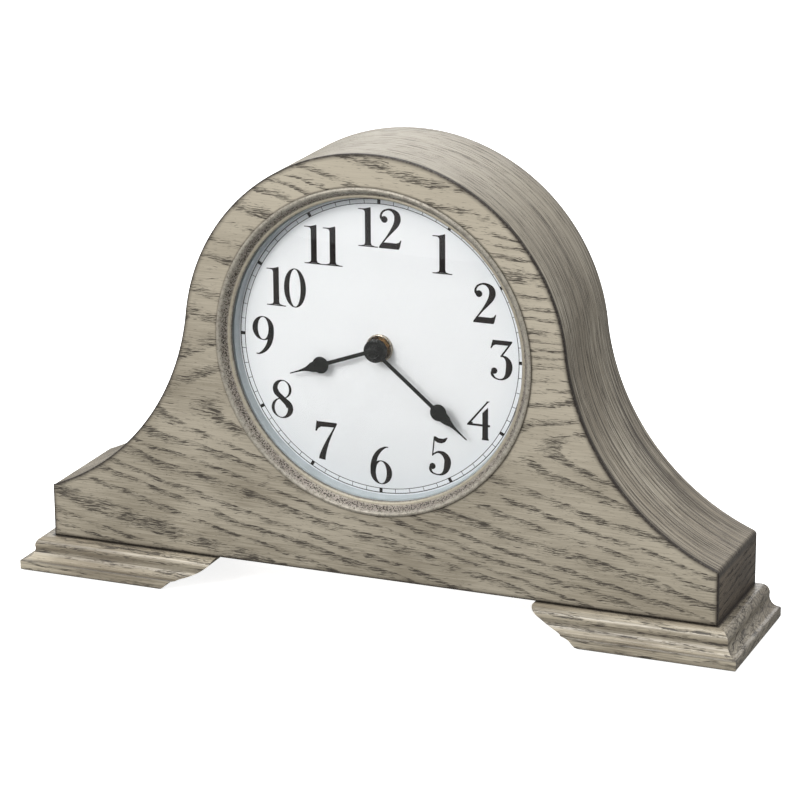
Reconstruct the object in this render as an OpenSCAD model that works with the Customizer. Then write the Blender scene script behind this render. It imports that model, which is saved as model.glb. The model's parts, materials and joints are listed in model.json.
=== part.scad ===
// Tambour mantel clock: arched wooden case on two moulded bracket feet, a round
// dial behind domed glass, and a battery quartz movement with a chime speaker.
// X runs to the viewer's right, -Y is the front of the clock and +Z is up.
// The origin is the middle of the footprint, on the surface the feet stand on.
// Depths inside the clock are measured back from the wooden front face.

/* [Case] */
// Width of the case without its feet
case_w = 362; // [300:1:420]
// Depth of the case, front face to rear edge
case_d = 65; // [55:1:90]
// Radius of the round arch over the dial
arch_r = 102.4; // [92:0.1:120]
// Height of the arch centre above the case bottom
arch_z = 117.1; // [100:0.1:130]
// Radius of the hollow sweep on each shoulder
cove_r = 123.8; // [100:0.1:160]
// Height of the square end at each side
shoulder_z = 27.8; // [15:0.1:40]
// Thickness of the bent wood wrap
wrap_t = 3; // [2:0.1:5]
// Thickness of the veneered face sheet
face_t = 1.2; // [0.8:0.1:3]
// Distance from the face to the back of the front board
front_t = 12.9; // [10:0.1:20]
// Thickness of the end boards
end_t = 12; // [6:1:20]
// Thickness of the bottom board
bottom_t = 10; // [6:1:16]
// Front of the back panel, from the face
back_y = 54; // [48:0.5:70]
// Thickness of the back panel
back_t = 6; // [3:0.5:10]

/* [Feet] */
// How far the foot moulding stands out from the case
foot_out = 13.75; // [8:0.05:20]
// Height of a wooden foot
foot_h = 16.6; // [12:0.1:25]
// Felt pad below the wood
pad_h = 0.6; // [0.3:0.1:2]
// Inner end of a foot where it meets the case, from the centre line
foot_in_top = 87; // [60:1:120]
// Inner end of a foot at the ground
foot_in_low = 114.4; // [80:0.1:130]

/* [Dial] */
// Height of the dial centre above the case bottom
dial_z = 118.5; // [100:0.1:135]
// Outer radius of the bezel
bezel_r = 84.4; // [75:0.1:95]
// Radius of the opening in the bezel lip
lip_r = 78.0; // [70:0.1:90]
// Front surface of the dial, back from the face
dial_y = 12.1; // [8:0.1:16]
// Radius of the hole through the front board
hole_r = 82.6; // [75:0.1:90]

/* [Hands] */
// Minute hand angle, clockwise from 12
minute_a = 129.6; // [0:0.1:360]
// Hour hand angle, clockwise from 12
hour_a = 250.0; // [0:0.1:360]
// Minute hand length from the centre
minute_len = 63.2; // [50:0.1:72]
// Hour hand length from the centre
hour_len = 50.2; // [35:0.1:60]
// Distance from the centre to the minute hand's spade
minute_bulb = 43.9; // [30:0.1:60]
// Distance from the centre to the hour hand's spade
hour_bulb = 32.6; // [20:0.1:45]
// Radius of the spades
bulb_r = 4.35; // [3:0.05:6]
// Width of the hand stems
stem_w = 2.0; // [1:0.1:4]

/* [Gears] */
// Gear pressure angle
press_a = 20; // [14:0.5:28]
// Part of each tooth left out for backlash
slack = 0.16; // [0:0.01:0.3]
// Tooth addendum, in modules
add_k = 0.80; // [0.6:0.05:1]
// Tooth dedendum, in modules
ded_k = 1.25; // [1:0.05:1.5]

/* [Access door] */
// Half width of the door opening
door_hw = 59; // [40:1:70]
// Door opening below the dial centre
door_low = 62; // [50:1:75]
// Door opening above the dial centre
door_high = 52; // [40:1:60]

/* [Hidden] */
$fn = 96;
eps = 0.02;
half_w = case_w / 2;
base_z = foot_h + pad_h;
face_y = -(case_d - foot_out) / 2;
dz = dial_z;

// Centre of the hollow sweep: it touches the arch and ends at the shoulder.
end_x = half_w;
end_z = shoulder_z - arch_z;
end_d = sqrt(end_x * end_x + end_z * end_z);
reach = arch_r + cove_r;
along = (reach * reach - cove_r * cove_r + end_d * end_d) / (2 * end_d);
aside = sqrt(reach * reach - along * along);
cove_x = (along * end_x - aside * end_z) / end_d;
cove_z = arch_z + (along * end_z + aside * end_x) / end_d;
touch_z = arch_z + (cove_z - arch_z) * arch_r / reach;

// Arbor positions in the movement, right and up from the dial centre.
third_at = [18.0 * cos(35), 18.0 * sin(35)];
second_at = third_at + 15.3 * [cos(110), sin(110)];
inter_at = second_at + 12.6 * [cos(190), sin(190)];
rotor_at = inter_at + 10.8 * [cos(200), sin(200)];
motion_at = 12.0 * [cos(200), sin(200)];
setting_at = motion_at + 12.0 * [cos(250), sin(250)];

// Tooth phases, each worked out from the wheel that meshes with it.
function mesh_phase(phi, pa, na, nb) =
    phi + 180 - (360 / nb) * (0.5 - (phi - pa) * na / 360);
cannon_p = 0;
centre_p = 0;
third_p = mesh_phase(35, centre_p, 80, 10);
second_p = mesh_phase(110, third_p, 75, 10);
inter_p = mesh_phase(190, second_p, 60, 10);
rotor_p = mesh_phase(200, inter_p, 60, 12);
motion_p = mesh_phase(200, cannon_p, 12, 36);
hour_p = mesh_phase(20, motion_p, 10, 40);
setting_p = mesh_phase(250, motion_p, 36, 12);

// ---------------------------------------------------------------- placing

// Everything is drawn from the face and the case bottom, then moved here.
module on_face() {
    translate([0, face_y, base_z]) children();
}

// A front-view outline (right, up) made solid from depth y1 to depth y2.
module slab(y1, y2) {
    translate([0, y2, 0]) rotate([90, 0, 0]) linear_extrude(height = y2 - y1) children();
}

// A round bar along the depth at [x, z].
module bar(at, r, y1, y2) {
    translate([at[0], y1, at[1]]) rotate([-90, 0, 0]) cylinder(r = r, h = y2 - y1);
}

// A (radius, depth) outline turned about the depth axis at [x, z].
module turned(at) {
    translate([at[0], 0, at[1]]) rotate([-90, 0, 0]) rotate_extrude() children();
}

// A block given by its low and high corners.
module block(low, high) {
    translate(low) cube([high[0] - low[0], high[1] - low[1], high[2] - low[2]]);
}

// A straight round wire between two points.
module wire(a, b, r) {
    d = b - a;
    len = norm(d);
    translate(a)
        rotate([0, acos(d[2] / len), atan2(d[1], d[0])])
            cylinder(r = r, h = len);
}

// Points from the dial centre turned into case coordinates.
function up(at) = [at[0], at[1] + dz];

// ---------------------------------------------------------------- outlines

// The case outline; t thins it along the curved top only.
module tambour(t) {
    difference() {
        union() {
            translate([-half_w, 0]) square([case_w, touch_z]);
            translate([0, arch_z]) circle(r = arch_r - t, $fn = 180);
        }
        for (s = [-1, 1])
            translate([s * cove_x, cove_z]) circle(r = cove_r + t, $fn = 180);
    }
}

// The same outline without the two end boards.
module inner_tambour() {
    intersection() {
        tambour(wrap_t);
        translate([-half_w + end_t, 0]) square([case_w - 2 * end_t, 2 * arch_z]);
    }
}

module round_rect(x1, z1, x2, z2, r) {
    union() {
        translate([x1 + r, z1]) square([x2 - x1 - 2 * r, z2 - z1]);
        translate([x1, z1 + r]) square([x2 - x1, z2 - z1 - 2 * r]);
        for (x = [x1 + r, x2 - r], z = [z1 + r, z2 - r])
            translate([x, z]) circle(r = r, $fn = 48);
    }
}

// Foot moulding in section: outward from the case, downward from its bottom.
// A rounded bead runs into a hollow, a hair over tangent so the two curves cross, then a small lip
// and an upright edge.
module foot_section() {
    lip = 11.0;
    bead = 4.2;
    bead_x = 3.6;
    cove_at = 12.9;
    hollow = (pow(cove_at - bead_x, 2) + pow(lip - bead, 2) - bead * bead) / (2 * lip) + 0.02;
    join = bead / (bead + hollow);
    join_z = -bead + (bead - lip + hollow) * join;
    union() {
        translate([-200, -foot_h]) square([200 + bead_x, foot_h]);
        translate([bead_x, -bead]) circle(r = bead, $fn = 64);
        difference() {
            translate([0, -lip]) square([cove_at, lip + join_z]);
            translate([cove_at, hollow - lip]) circle(r = hollow, $fn = 64);
        }
        translate([-1, -foot_h]) square([foot_out + 1 - 0.9, foot_h - lip]);
        translate([-1, -foot_h + 0.9]) square([foot_out + 1, foot_h - lip - 1.7]);
        translate([foot_out - 0.9, -foot_h + 0.9]) circle(r = 0.9, $fn = 32);
        translate([foot_out - 0.8, -lip - 0.8]) circle(r = 0.8, $fn = 32);
    }
}

// Front view of one foot: moulded outer side, shaped inner end.
module foot_front() {
    intersection() {
        translate([half_w, 0]) foot_section();
        difference() {
            translate([foot_in_top, -foot_h]) square([140, foot_h]);
            foot_inner_cut();
        }
    }
}

// The inner end: a long hollow under a short curl, from the ground up to the case.
foot_curl = [
    [0, -foot_h], [-1.9, -15.9], [-3.5, -14.5], [-4.9, -12.9], [-7.0, -11.7], [-10.6, -10.8],
    [-14.6, -9.6], [-18.2, -8.1], [-21.4, -6.2], [-24.3, -4.0], [-26.4, -1.9],
    [foot_in_top - foot_in_low, 0]
];

// A point at t on the smooth curve from b to c, with a and d on either side.
function between(a, b, c, d, t) =
    0.5 * (2 * b + (c - a) * t + (2 * a - 5 * b + 4 * c - d) * t * t
        + (3 * b - a - 3 * c + d) * t * t * t);

module foot_inner_cut() {
    n = len(foot_curl) - 1;
    polygon([
        [foot_in_top - 1, 1], [foot_in_top - 1, -foot_h - 1], [foot_in_low, -foot_h - 1],
        for (i = [0 : n - 1], t = [0 : 0.34 : 0.9])
            [foot_in_low, 0] + between(foot_curl[max(i - 1, 0)], foot_curl[i],
                foot_curl[i + 1], foot_curl[min(i + 2, n)], t),
        [foot_in_top, 0], [foot_in_top, 1]
    ]);
}

module foot_solid() {
    intersection() {
        slab(-foot_out - 1, case_d) foot_front();
        rotate([90, 0, 90])
            linear_extrude(height = 2 * half_w)
                mirror([1, 0])
                    intersection() {
                        foot_section();
                        translate([-case_d, -foot_h]) square([case_d + foot_out, foot_h]);
                    }
    }
}

// ---------------------------------------------------------------- gears

// Involute in degrees for a pressure angle in degrees.
function inv(a) = tan(a) * 180 / PI - a;
function flank(r, rb, n, rp) =
    let (a = r > rb ? acos(rb / r) : 0)
    90 / n * (1 - slack) + inv(press_a) - inv(a);

// Spur gear outline with a tooth centred on angle p.
module gear(n, m, p) {
    rp = n * m / 2;
    rb = rp * cos(press_a);
    rt = rp + add_k * m;
    rr = rp - ded_k * m;
    radii = [rr, max(rb, rr + 0.01), rp, (rp + rt) / 2, rt];
    steps = len(radii);
    polygon([
        for (i = [0 : n - 1], k = [0 : 2 * steps - 1])
            let (
                j = k < steps ? k : 2 * steps - 1 - k,
                s = k < steps ? -1 : 1,
                a = p + 360 * i / n + s * flank(radii[j], rb, n, rp)
            )
            [radii[j] * cos(a), radii[j] * sin(a)]
    ]);
}

module wheel(at, n, m, p, y1, y2, spokes = 0, rim = 0) {
    slab(y1, y2) translate(up(at)) difference() {
        gear(n, m, p);
        if (spokes > 0)
            for (i = [0 : spokes - 1])
                rotate(p + 360 * (i + 0.5) / spokes)
                    translate([n * m / 4 + 0.5, 0]) circle(r = rim, $fn = 32);
    }
}

// ---------------------------------------------------------------- case

module face_panel() {
    color("tan") on_face() slab(0, face_t) difference() {
        tambour(0);
        translate([0, dz]) circle(r = hole_r, $fn = 180);
    }
}

module front_board() {
    color("burlywood") on_face() difference() {
        slab(face_t, front_t) difference() {
            inner_tambour();
            translate([0, dz]) circle(r = hole_r, $fn = 180);
        }
        mounting_screw_shanks();
    }
}

module case_wrap() {
    color("tan") on_face() slab(face_t, case_d) difference() {
        tambour(0);
        tambour(wrap_t);
    }
}

module end_board(s) {
    color("tan") on_face() slab(face_t, case_d) intersection() {
        tambour(wrap_t);
        translate([s > 0 ? half_w - end_t : -half_w, 0]) square([end_t, 2 * arch_z]);
    }
}

module left_end() {
    end_board(-1);
}

module right_end() {
    end_board(1);
}

module bottom_board() {
    color("burlywood") on_face() difference() {
        block([-half_w + end_t, front_t, 0], [half_w - end_t, back_y, bottom_t]);
        foot_screw_shanks();
        back_screw_shanks();
    }
}

// Screw places in the back panel: shoulders, arch and bottom edge.
back_at = [[-150, 19], [150, 19], [-57.5, 182], [57.5, 182], [-60, 5], [60, 5]];

module corner_blocks() {
    color("burlywood") on_face() difference() {
        union() {
            for (s = [-1, 1])
                block([s * 150 - 10, front_t, bottom_t], [s * 150 + 10, back_y, 26]);
            for (s = [-1, 1])
                slab(mount_y, back_y) intersection() {
                    translate([0, arch_z]) circle(r = arch_r - wrap_t, $fn = 180);
                    translate([s * 60 - 9, 174]) square([18, 24]);
                }
        }
        back_screw_shanks();
    }
}

module back_panel() {
    color("peru") on_face() difference() {
        slab(back_y, back_y + back_t) difference() {
            inner_tambour();
            round_rect(-door_hw, dz - door_low, door_hw, dz + door_high, 6);
            for (x = [-14 : 7 : 14])
                translate([speaker_at[0] + x, speaker_at[1]])
                    round_rect(-1.5, -sqrt(19 * 19 - x * x), 1.5, sqrt(19 * 19 - x * x), 1.45);
        }
        back_screw_shanks();
    }
}

module back_screw_shanks() {
    for (p = back_at)
        bar(p, 1.6, back_y - 12, back_y + back_t + 1);
}

module back_screws() {
    color("silver") on_face() for (p = back_at) difference() {
        union() {
            bar(p, 1.6, back_y - 12, back_y + back_t);
            turned(p) polygon([[0, back_y + back_t], [3.1, back_y + back_t],
                [2.6, back_y + back_t + 1.3], [1.2, back_y + back_t + 1.9],
                [0, back_y + back_t + 1.9]]);
        }
        cross_slot(p, back_y + back_t + 1.0, 1.7);
    }
}

// Cross recess for a screw driver, cut from depth y outwards.
module cross_slot(p, y, w) {
    translate([p[0], y, p[1]]) {
        translate([-w, 0, -0.35]) cube([2 * w, 3, 0.7]);
        translate([-0.35, 0, -w]) cube([0.7, 3, 2 * w]);
    }
}

// ---------------------------------------------------------------- feet

foot_screw_x = [124, 160];
pad_x = [124, 182];
pad_y = [-2, 53];

module foot_screw_shanks() {
    for (s = [-1, 1], x = foot_screw_x)
        translate([s * x, 32, -foot_h]) cylinder(r = 1.9, h = foot_h + 8);
}

module foot_cuts() {
    for (s = [-1, 1], x = foot_screw_x) {
        translate([s * x, 32, -foot_h - 1]) cylinder(r = 4.2, h = 9);
        translate([s * x, 32, -foot_h - 1]) cylinder(r = 1.9, h = foot_h + 2);
    }
    for (s = [-1, 1], x = pad_x, y = pad_y)
        translate([s * x, y, -foot_h - 1]) cylinder(r = 8, h = 1.8);
}

module right_foot() {
    color("tan") on_face() difference() {
        foot_solid();
        foot_cuts();
    }
}

module left_foot() {
    color("tan") on_face() difference() {
        mirror([1, 0, 0]) foot_solid();
        foot_cuts();
    }
}

module foot_screws() {
    color("silver") on_face() for (s = [-1, 1], x = foot_screw_x)
        translate([s * x, 32, 0]) difference() {
            union() {
                translate([0, 0, -foot_h + 8]) cylinder(r = 1.9, h = foot_h - 0.5);
                translate([0, 0, -foot_h + 5.6]) cylinder(r = 3.8, h = 2.4);
            }
            translate([-2, -0.4, -foot_h + 5]) cube([4, 0.8, 1.6]);
            translate([-0.4, -2, -foot_h + 5]) cube([0.8, 4, 1.6]);
        }
}

module foot_pads() {
    color("dimgray") on_face() for (s = [-1, 1], x = pad_x, y = pad_y)
        translate([s * x, y, -foot_h - pad_h]) cylinder(r = 8, h = pad_h + 0.8);
}

// ---------------------------------------------------------------- dial set

module bezel() {
    color("gray") on_face() turned([0, dz], $fn = 180) polygon([
        [bezel_r, 0], [bezel_r, -0.5], [bezel_r - 0.35, -1.1], [bezel_r - 1.1, -1.35],
        [bezel_r - 1.9, -1.0], [80.0, 3.1], [79.5, 3.5], [lip_r + 0.4, 3.8],
        [lip_r, 4.1], [lip_r, 5.2], [79.25, 5.36], [79.25, 11.9], [80.4, 11.9], [80.4, 7],
        [82.4, 7], [82.4, 0]
    ]);
}

glass_c = 409.5;
glass_ro = 411.7;
glass_t = 1.8;

module crystal() {
    color("lightblue", 0.3) on_face() intersection() {
        bar([0, dz], 79.05, -4, 10, $fn = 180);
        translate([0, glass_c, dz]) difference() {
            sphere(r = glass_ro, $fn = 180);
            sphere(r = glass_ro - glass_t, $fn = 180);
        }
    }
}

module dial_spacer() {
    color("slategray") on_face() turned([0, dz]) polygon([
        [77.5, 7.4], [79.15, 7.4], [79.15, dial_y], [76.8, dial_y], [76.8, 11.2], [77.3, 8.2]
    ]);
}

module dial() {
    color("white") on_face() difference() {
        bar([0, dz], 80.3, dial_y, front_t, $fn = 180);
        bar([0, dz], 4.05, dial_y - 1, front_t + 1);
    }
}

mount_y = front_t + 3;

module mounting_board() {
    color("saddlebrown") on_face() difference() {
        bar([0, dz], 90, front_t, mount_y, $fn = 180);
        bar([0, dz], 4.05, front_t - 1, mount_y + 1);
        mounting_screw_shanks();
    }
}

mount_screw_at = [for (a = [30 : 60 : 330]) [86.6 * sin(a), dz + 86.6 * cos(a)]];

module mounting_screw_shanks() {
    for (p = mount_screw_at)
        bar(p, 1.4, 5, mount_y + 1);
}

module mounting_screws() {
    color("silver") on_face() for (p = mount_screw_at) difference() {
        union() {
            bar(p, 1.4, 5, mount_y);
            turned(p) polygon([[0, mount_y], [2.8, mount_y], [2.4, mount_y + 1.2],
                [1.2, mount_y + 1.7], [0, mount_y + 1.7]]);
        }
        cross_slot(p, mount_y + 0.9, 1.5);
    }
}

// ---------------------------------------------------------------- movement

mv_front = mount_y;
mv_in = mv_front + 2;
cover_y = mount_y + 19.1;
cover_t = 2;
bay_top = -20.8;
cell_y = mv_in + 13.5;
cell_z = -36.5;
mv_screw_at = [[-38, 34], [38, 34], [-38, -17], [38, -17]];

// Wheels that turn on their own arbor between the front wall and the cover.
arbors = [[third_at, 0.7], [second_at, 0.6], [inter_at, 0.6], [rotor_at, 0.5]];

module movement_housing() {
    color("dimgray") on_face() translate([0, 0, dz]) difference() {
        union() {
            difference() {
                union() {
                    block([-42, mv_front, -52.2], [42, cover_y, 38]);
                    block([-34, cover_y, -52.2], [34, cover_y + 10, bay_top]);
                }
                block([-40, mv_in, bay_top], [40, cover_y + 1, 36]);
                block([-31, mv_in, -50.2], [31, cover_y + 11, bay_top - 2]);
                block([-40, mv_in, -50.2], [-33, cover_y + 1, bay_top - 2]);
                block([33, mv_in, -50.2], [40, cover_y + 1, bay_top - 2]);
            }
            for (p = mv_screw_at)
                bar(p, 2.6, mv_in - eps, cover_y);
            bar(motion_at, 1.0, mv_in - eps, mv_in + 3.6);
            for (p = [[31, 0.5], [7, -17], [31, -17]])
                bar(p, 1.3, mv_in - eps, board_y);
            for (z = [9, 29])
                block([-32.5, mv_in - eps, z - 1], [-29.5, 29.4, z + 1]);
        }
        bar([0, 0], 4.0, mv_front - 1, mv_in + 1);
        for (a = arbors)
            bar(a[0], a[1] + 0.05, mv_in - 1.2, mv_in + 1);
        for (p = mv_screw_at)
            bar(p, 1.1, cover_y - 9, cover_y + 1);
        for (z = lead_z)
            translate([-43, 33.3, z]) rotate([0, 90, 0]) cylinder(r = 0.6, h = 4);
    }
}

board_y = mount_y + 15.1;
board_t = 1.6;
switch_x = [13, 25];
switch_z = -10;
lead_z = [-5.0, -7.4];

module movement_cover() {
    color("gray") on_face() translate([0, 0, dz]) difference() {
        union() {
            block([-42, cover_y, bay_top + 0.1], [42, cover_y + cover_t, 38]);
            bar([0, 0], 4.5, cover_y + cover_t - eps, cover_y + cover_t + 0.8);
        }
        bar([0, 0], 0.95, cover_y - 1, cover_y + 1.6);
        for (a = arbors)
            bar(a[0], a[1] + 0.05, cover_y - 1, cover_y + 1.3);
        bar(setting_at, 1.56, cover_y - 1, cover_y + 4);
        for (p = mv_screw_at)
            bar(p, 1.1, cover_y - 1, cover_y + 4);
        for (x = switch_x)
            block([x - 4.2, cover_y - 1, switch_z - 1.3], [x + 4.2, cover_y + 4, switch_z + 1.3]);
        for (i = [0 : 3])
            block([12, cover_y + 1.2, 16 + 4 * i], [34, cover_y + 4, 17.6 + 4 * i]);
    }
}

module movement_screws() {
    y = cover_y + cover_t;
    color("silver") on_face() translate([0, 0, dz]) for (p = mv_screw_at) difference() {
        union() {
            bar(p, 1.1, cover_y - 9, y);
            turned(p) polygon([[0, y], [2.2, y], [1.9, y + 1.0], [0.9, y + 1.4], [0, y + 1.4]]);
        }
        cross_slot(p, y + 0.8, 1.3);
    }
}

module centre_bush() {
    color("goldenrod") on_face() difference() {
        union() {
            bar([0, dz], 4.0, 10.4, mv_in);
            bar([0, dz], 3.8, 9.5, 10.5);
        }
        bar([0, dz], 2.36, 9, mv_in + 1);
    }
}

module centre_nut() {
    color("darkkhaki") on_face() turned([0, dz]) polygon([
        [4.0, dial_y], [7.1, dial_y], [7.1, 11.5], [6.7, 11.0], [6.2, 10.9],
        [5.6, 11.3], [5.2, 10.9], [4.9, 10.5], [4.0, 10.4]
    ]);
}

module stator() {
    color("silver") on_face() translate([0, 0, dz]) slab(29.4, 30.4) difference() {
        union() {
            translate([-32, 7.5]) square([2, 22.5]);
            for (z = [7.5, 27])
                translate([-34.5, z]) square([24.5, 3]);
            translate([-16.5, 7.5]) square([6.9, 22.5]);
            translate(rotor_at) circle(r = 5.2);
        }
        translate(rotor_at) circle(r = 3.4);
    }
}

module coil_bobbin() {
    color("ivory") on_face() translate([-31, 29.9, dz + 10.6]) difference() {
        union() {
            cylinder(r = 4.9, h = 1.2);
            cylinder(r = 2.2, h = 16.2);
            translate([0, 0, 15.0]) cylinder(r = 4.9, h = 1.2);
        }
        translate([-1.05, -0.55, -1]) cube([2.1, 1.1, 20]);
    }
}

module coil_winding() {
    color("orangered") on_face() translate([-31, 29.9, dz + 11.8]) difference() {
        cylinder(r = 4.3, h = 13.8);
        translate([0, 0, -1]) cylinder(r = 2.2, h = 16);
    }
}

module circuit_board() {
    color("darkgreen") on_face() translate([0, 0, dz])
        block([4, board_y, -19.4], [34.2, board_y + board_t, 2.6]);
}

chip_y = board_y + board_t;

module driver_chip() {
    color("black") on_face() turned([9.5, dz - 2.2]) polygon([
        [0, chip_y], [3.4, chip_y], [2.9, chip_y + 0.8], [1.6, chip_y + 1.2], [0, chip_y + 1.2]
    ]);
}

module quartz_can() {
    color("silver") on_face() translate([18, chip_y + 1.0, dz - 1.4]) rotate([0, 90, 0]) {
        cylinder(r = 1.0, h = 6.2);
        translate([0, 0, -0.6]) cylinder(r = 0.8, h = 0.7);
    }
}

module switch_bodies() {
    color("silver") on_face() translate([0, 0, dz]) for (x = switch_x) difference() {
        block([x - 5, chip_y, switch_z - 2.6], [x + 5, chip_y + 2.0, switch_z + 2.6]);
        block([x - 4.0, chip_y + 0.6, switch_z - 1.3], [x + 4.0, chip_y + 3, switch_z + 1.3]);
    }
}

module slider(x) {
    block([x - 1.8, chip_y + 0.7, switch_z - 1.2], [x + 1.8, chip_y + 1.9, switch_z + 1.2]);
    block([x - 1.3, chip_y + 1.8, switch_z - 1.15], [x + 1.3, cover_y + 2.6, switch_z + 1.15]);
    block([x - 2.0, cover_y + 2.4, switch_z - 1.7], [x + 2.0, cover_y + 3.4, switch_z + 1.7]);
    for (i = [-1 : 1])
        block([x + i * 1.3 - 0.3, cover_y + 3.4, switch_z - 1.7],
            [x + i * 1.3 + 0.3, cover_y + 3.9, switch_z + 1.7]);
}

module volume_slider() {
    color("black") on_face() translate([0, 0, dz]) slider(switch_x[0]);
}

module chime_slider() {
    color("black") on_face() translate([0, 0, dz]) slider(switch_x[1]);
}

module battery_can() {
    color("silver") on_face() translate([-25.0, cell_y, dz + cell_z]) rotate([0, 90, 0]) {
        cylinder(r = 12.8, h = 48.4);
        translate([0, 0, 48.3]) cylinder(r = 3.2, h = 1.7);
    }
}

module battery_sleeve() {
    color("darkslateblue") on_face() translate([-24.4, cell_y, dz + cell_z])
        rotate([0, 90, 0]) difference() {
            cylinder(r = 13.1, h = 47.2);
            translate([0, 0, -1]) cylinder(r = 12.8, h = 50);
        }
}

// One bent spring leaf, drawn for the right-hand end.
module contact_leaf(tip) {
    y = cell_y;
    block([30.4, y - 9, cell_z - 4], [31, y + 9, cell_z + 4]);
    block([tip, y + 8.4, cell_z - 4], [30.5, y + 9, cell_z + 4]);
    block([tip, y - 5, cell_z - 4], [tip + 0.6, y + 9, cell_z + 4]);
}

module contact_plus() {
    color("silver") on_face() translate([0, 0, dz]) contact_leaf(25.02);
}

module contact_minus() {
    color("silver") on_face() translate([0, 0, dz]) mirror([1, 0, 0]) contact_leaf(25.02);
}

// ---------------------------------------------------------------- speaker

speaker_at = [-98, 43];

module speaker_frame() {
    y = back_y;
    color("dimgray") on_face() difference() {
        turned(speaker_at) polygon([
            [20.6, y], [26, y], [26, y - 1.2], [21.6, y - 1.2], [19.4, y - 8.5],
            [13.5, y - 12], [9, y - 12], [9, y - 11.2], [13.2, y - 11.2], [18.6, y - 8.0],
            [20.6, y - 1.4]
        ]);
        for (a = [0 : 60 : 300])
            translate([speaker_at[0], y - 6.6, speaker_at[1]]) rotate([0, a, 0])
                translate([14, 0, 0]) cube([20, 5.4, 8], center = true);
        for (p = speaker_screw_at)
            bar(p, 1.2, y - 3, y + 1);
    }
}

speaker_screw_at = [for (a = [45, 225]) speaker_at + 23.6 * [cos(a), sin(a)]];

module speaker_cone() {
    y = back_y;
    color("black") on_face() turned(speaker_at) polygon([
        [0, y - 5.2], [3, y - 5.6], [5.5, y - 7.2], [15.5, y - 3.6], [18.0, y - 2.0],
        [20.5, y - 0.8], [20.5, y - 1.3], [17.8, y - 2.6], [15.2, y - 4.3], [5.5, y - 7.9],
        [5.5, y - 10.8], [4.9, y - 10.8], [4.9, y - 7.6], [2.8, y - 6.2], [0, y - 5.8]
    ]);
}

module speaker_magnet() {
    y = back_y - 12;
    color("gray") on_face() difference() {
        union() {
            bar(speaker_at, 14, y - 1.2, y);
            bar(speaker_at, 13, y - 6.4, y - 1.2);
            bar(speaker_at, 14, y - 7.6, y - 6.4);
        }
        bar(speaker_at, 6.2, y - 5, y + 1);
    }
}

module speaker_screws() {
    y = back_y - 1.2;
    color("silver") on_face() for (p = speaker_screw_at) {
        bar(p, 1.2, y, back_y);
        turned(p) polygon([[0, y], [2.1, y], [1.8, y - 0.9], [0.8, y - 1.3], [0, y - 1.3]]);
    }
}

// Two thin leads from the circuit board to the back of the speaker.
module speaker_leads() {
    r = 0.55;
    y = 33.3;
    color("firebrick") on_face() for (i = [0, 1]) {
        z = dz + lead_z[i];
        s = i == 0 ? 1 : -1;
        a = [4.6, y, z];
        b = [-48, y, z];
        c = [-75 + 3 * i, 36, dz - 40 - 3 * i];
        d = [speaker_at[0] + 20.9, 47.0, speaker_at[1] + 5 * s];
        wire(b, a, r);
        wire(c, b, r);
        wire(d, c, r);
        for (p = [b, c])
            translate(p) sphere(r = r + 0.12, $fn = 24);
    }
}

// ---------------------------------------------------------------- hands and wheels

// A spade: a round bulb drawn out to a needle, on a straight stem.
// Drawn pointing up, from the centre.
module spade(bulb, tip) {
    k = tip - bulb;
    r = bulb_r;
    union() {
        translate([-stem_w / 2, 0]) square([stem_w, bulb]);
        translate([0, bulb]) circle(r = r, $fn = 48);
        polygon([
            [-0.80 * r, bulb + 0.60 * r], [-0.62 * r, bulb + 0.30 * k], [-0.44 * r, bulb + 0.38 * k],
            [-0.28 * r, bulb + 0.47 * k], [-0.17 * r, bulb + 0.58 * k], [-0.42, bulb + 0.76 * k],
            [-0.28, tip - 0.2], [-0.12, tip], [0.12, tip], [0.28, tip - 0.2],
            [0.42, bulb + 0.76 * k], [0.17 * r, bulb + 0.58 * k], [0.28 * r, bulb + 0.47 * k],
            [0.44 * r, bulb + 0.38 * k], [0.62 * r, bulb + 0.30 * k], [0.80 * r, bulb + 0.60 * r]
        ]);
    }
}

module minute_hand() {
    color("black") on_face() difference() {
        union() {
            slab(4.9, 5.4) translate([0, dz]) rotate(-minute_a) spade(minute_bulb, minute_len);
            turned([0, dz]) polygon([[0, 4.3], [5.5, 4.3], [5.8, 4.55], [5.8, 5.8], [0, 5.8]]);
        }
        bar([0, dz], 1.4, 0, 9);
    }
}

module hand_cap() {
    color("black") on_face() turned([0, dz]) polygon([
        [0, 1.0], [1.6, 1.05], [2.5, 1.3], [3.0, 1.8], [3.15, 2.6], [3.15, 4.3], [1.4, 4.3],
        [1.4, 2.6], [0, 2.6]
    ]);
}

module centre_arbor() {
    color("goldenrod") on_face() {
        bar([0, dz], 1.4, 2.6, cover_y - 0.4);
        bar([0, dz], 0.9, cover_y - 0.5, cover_y + 1.4);
        wheel([0, 0], 12, 0.5, cannon_p, 20.0, 21.4);
        wheel([0, 0], 80, 0.4, centre_p, 22.2, 23.2, 5, 3.3);
        bar([0, dz], 3.2, 21.4, 24.6);
    }
}

module hour_wheel() {
    color("ivory") on_face() difference() {
        union() {
            wheel([0, 0], 40, 0.48, hour_p, 18.4, 19.5);
            bar([0, dz], 2.3, 7.2, 19.5);
        }
        bar([0, dz], 1.45, 6, 21);
    }
}

module hour_hand() {
    color("black") on_face() difference() {
        union() {
            slab(7.7, 8.2) translate([0, dz]) rotate(-hour_a) spade(hour_bulb, hour_len);
            turned([0, dz]) polygon([[0, 7.2], [5.2, 7.2], [5.5, 7.45], [5.5, 8.4],
                [4.6, 8.5], [4.6, 9.2], [0, 9.2]]);
        }
        bar([0, dz], 2.3, 6, 10);
    }
}

module motion_wheel() {
    color("ivory") on_face() difference() {
        union() {
            wheel(motion_at, 10, 0.48, motion_p, 18.2, 20.1);
            wheel(motion_at, 36, 0.5, motion_p, 20.0, 21.2);
        }
        bar(up(motion_at), 1.05, 17, 23);
    }
}

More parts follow.
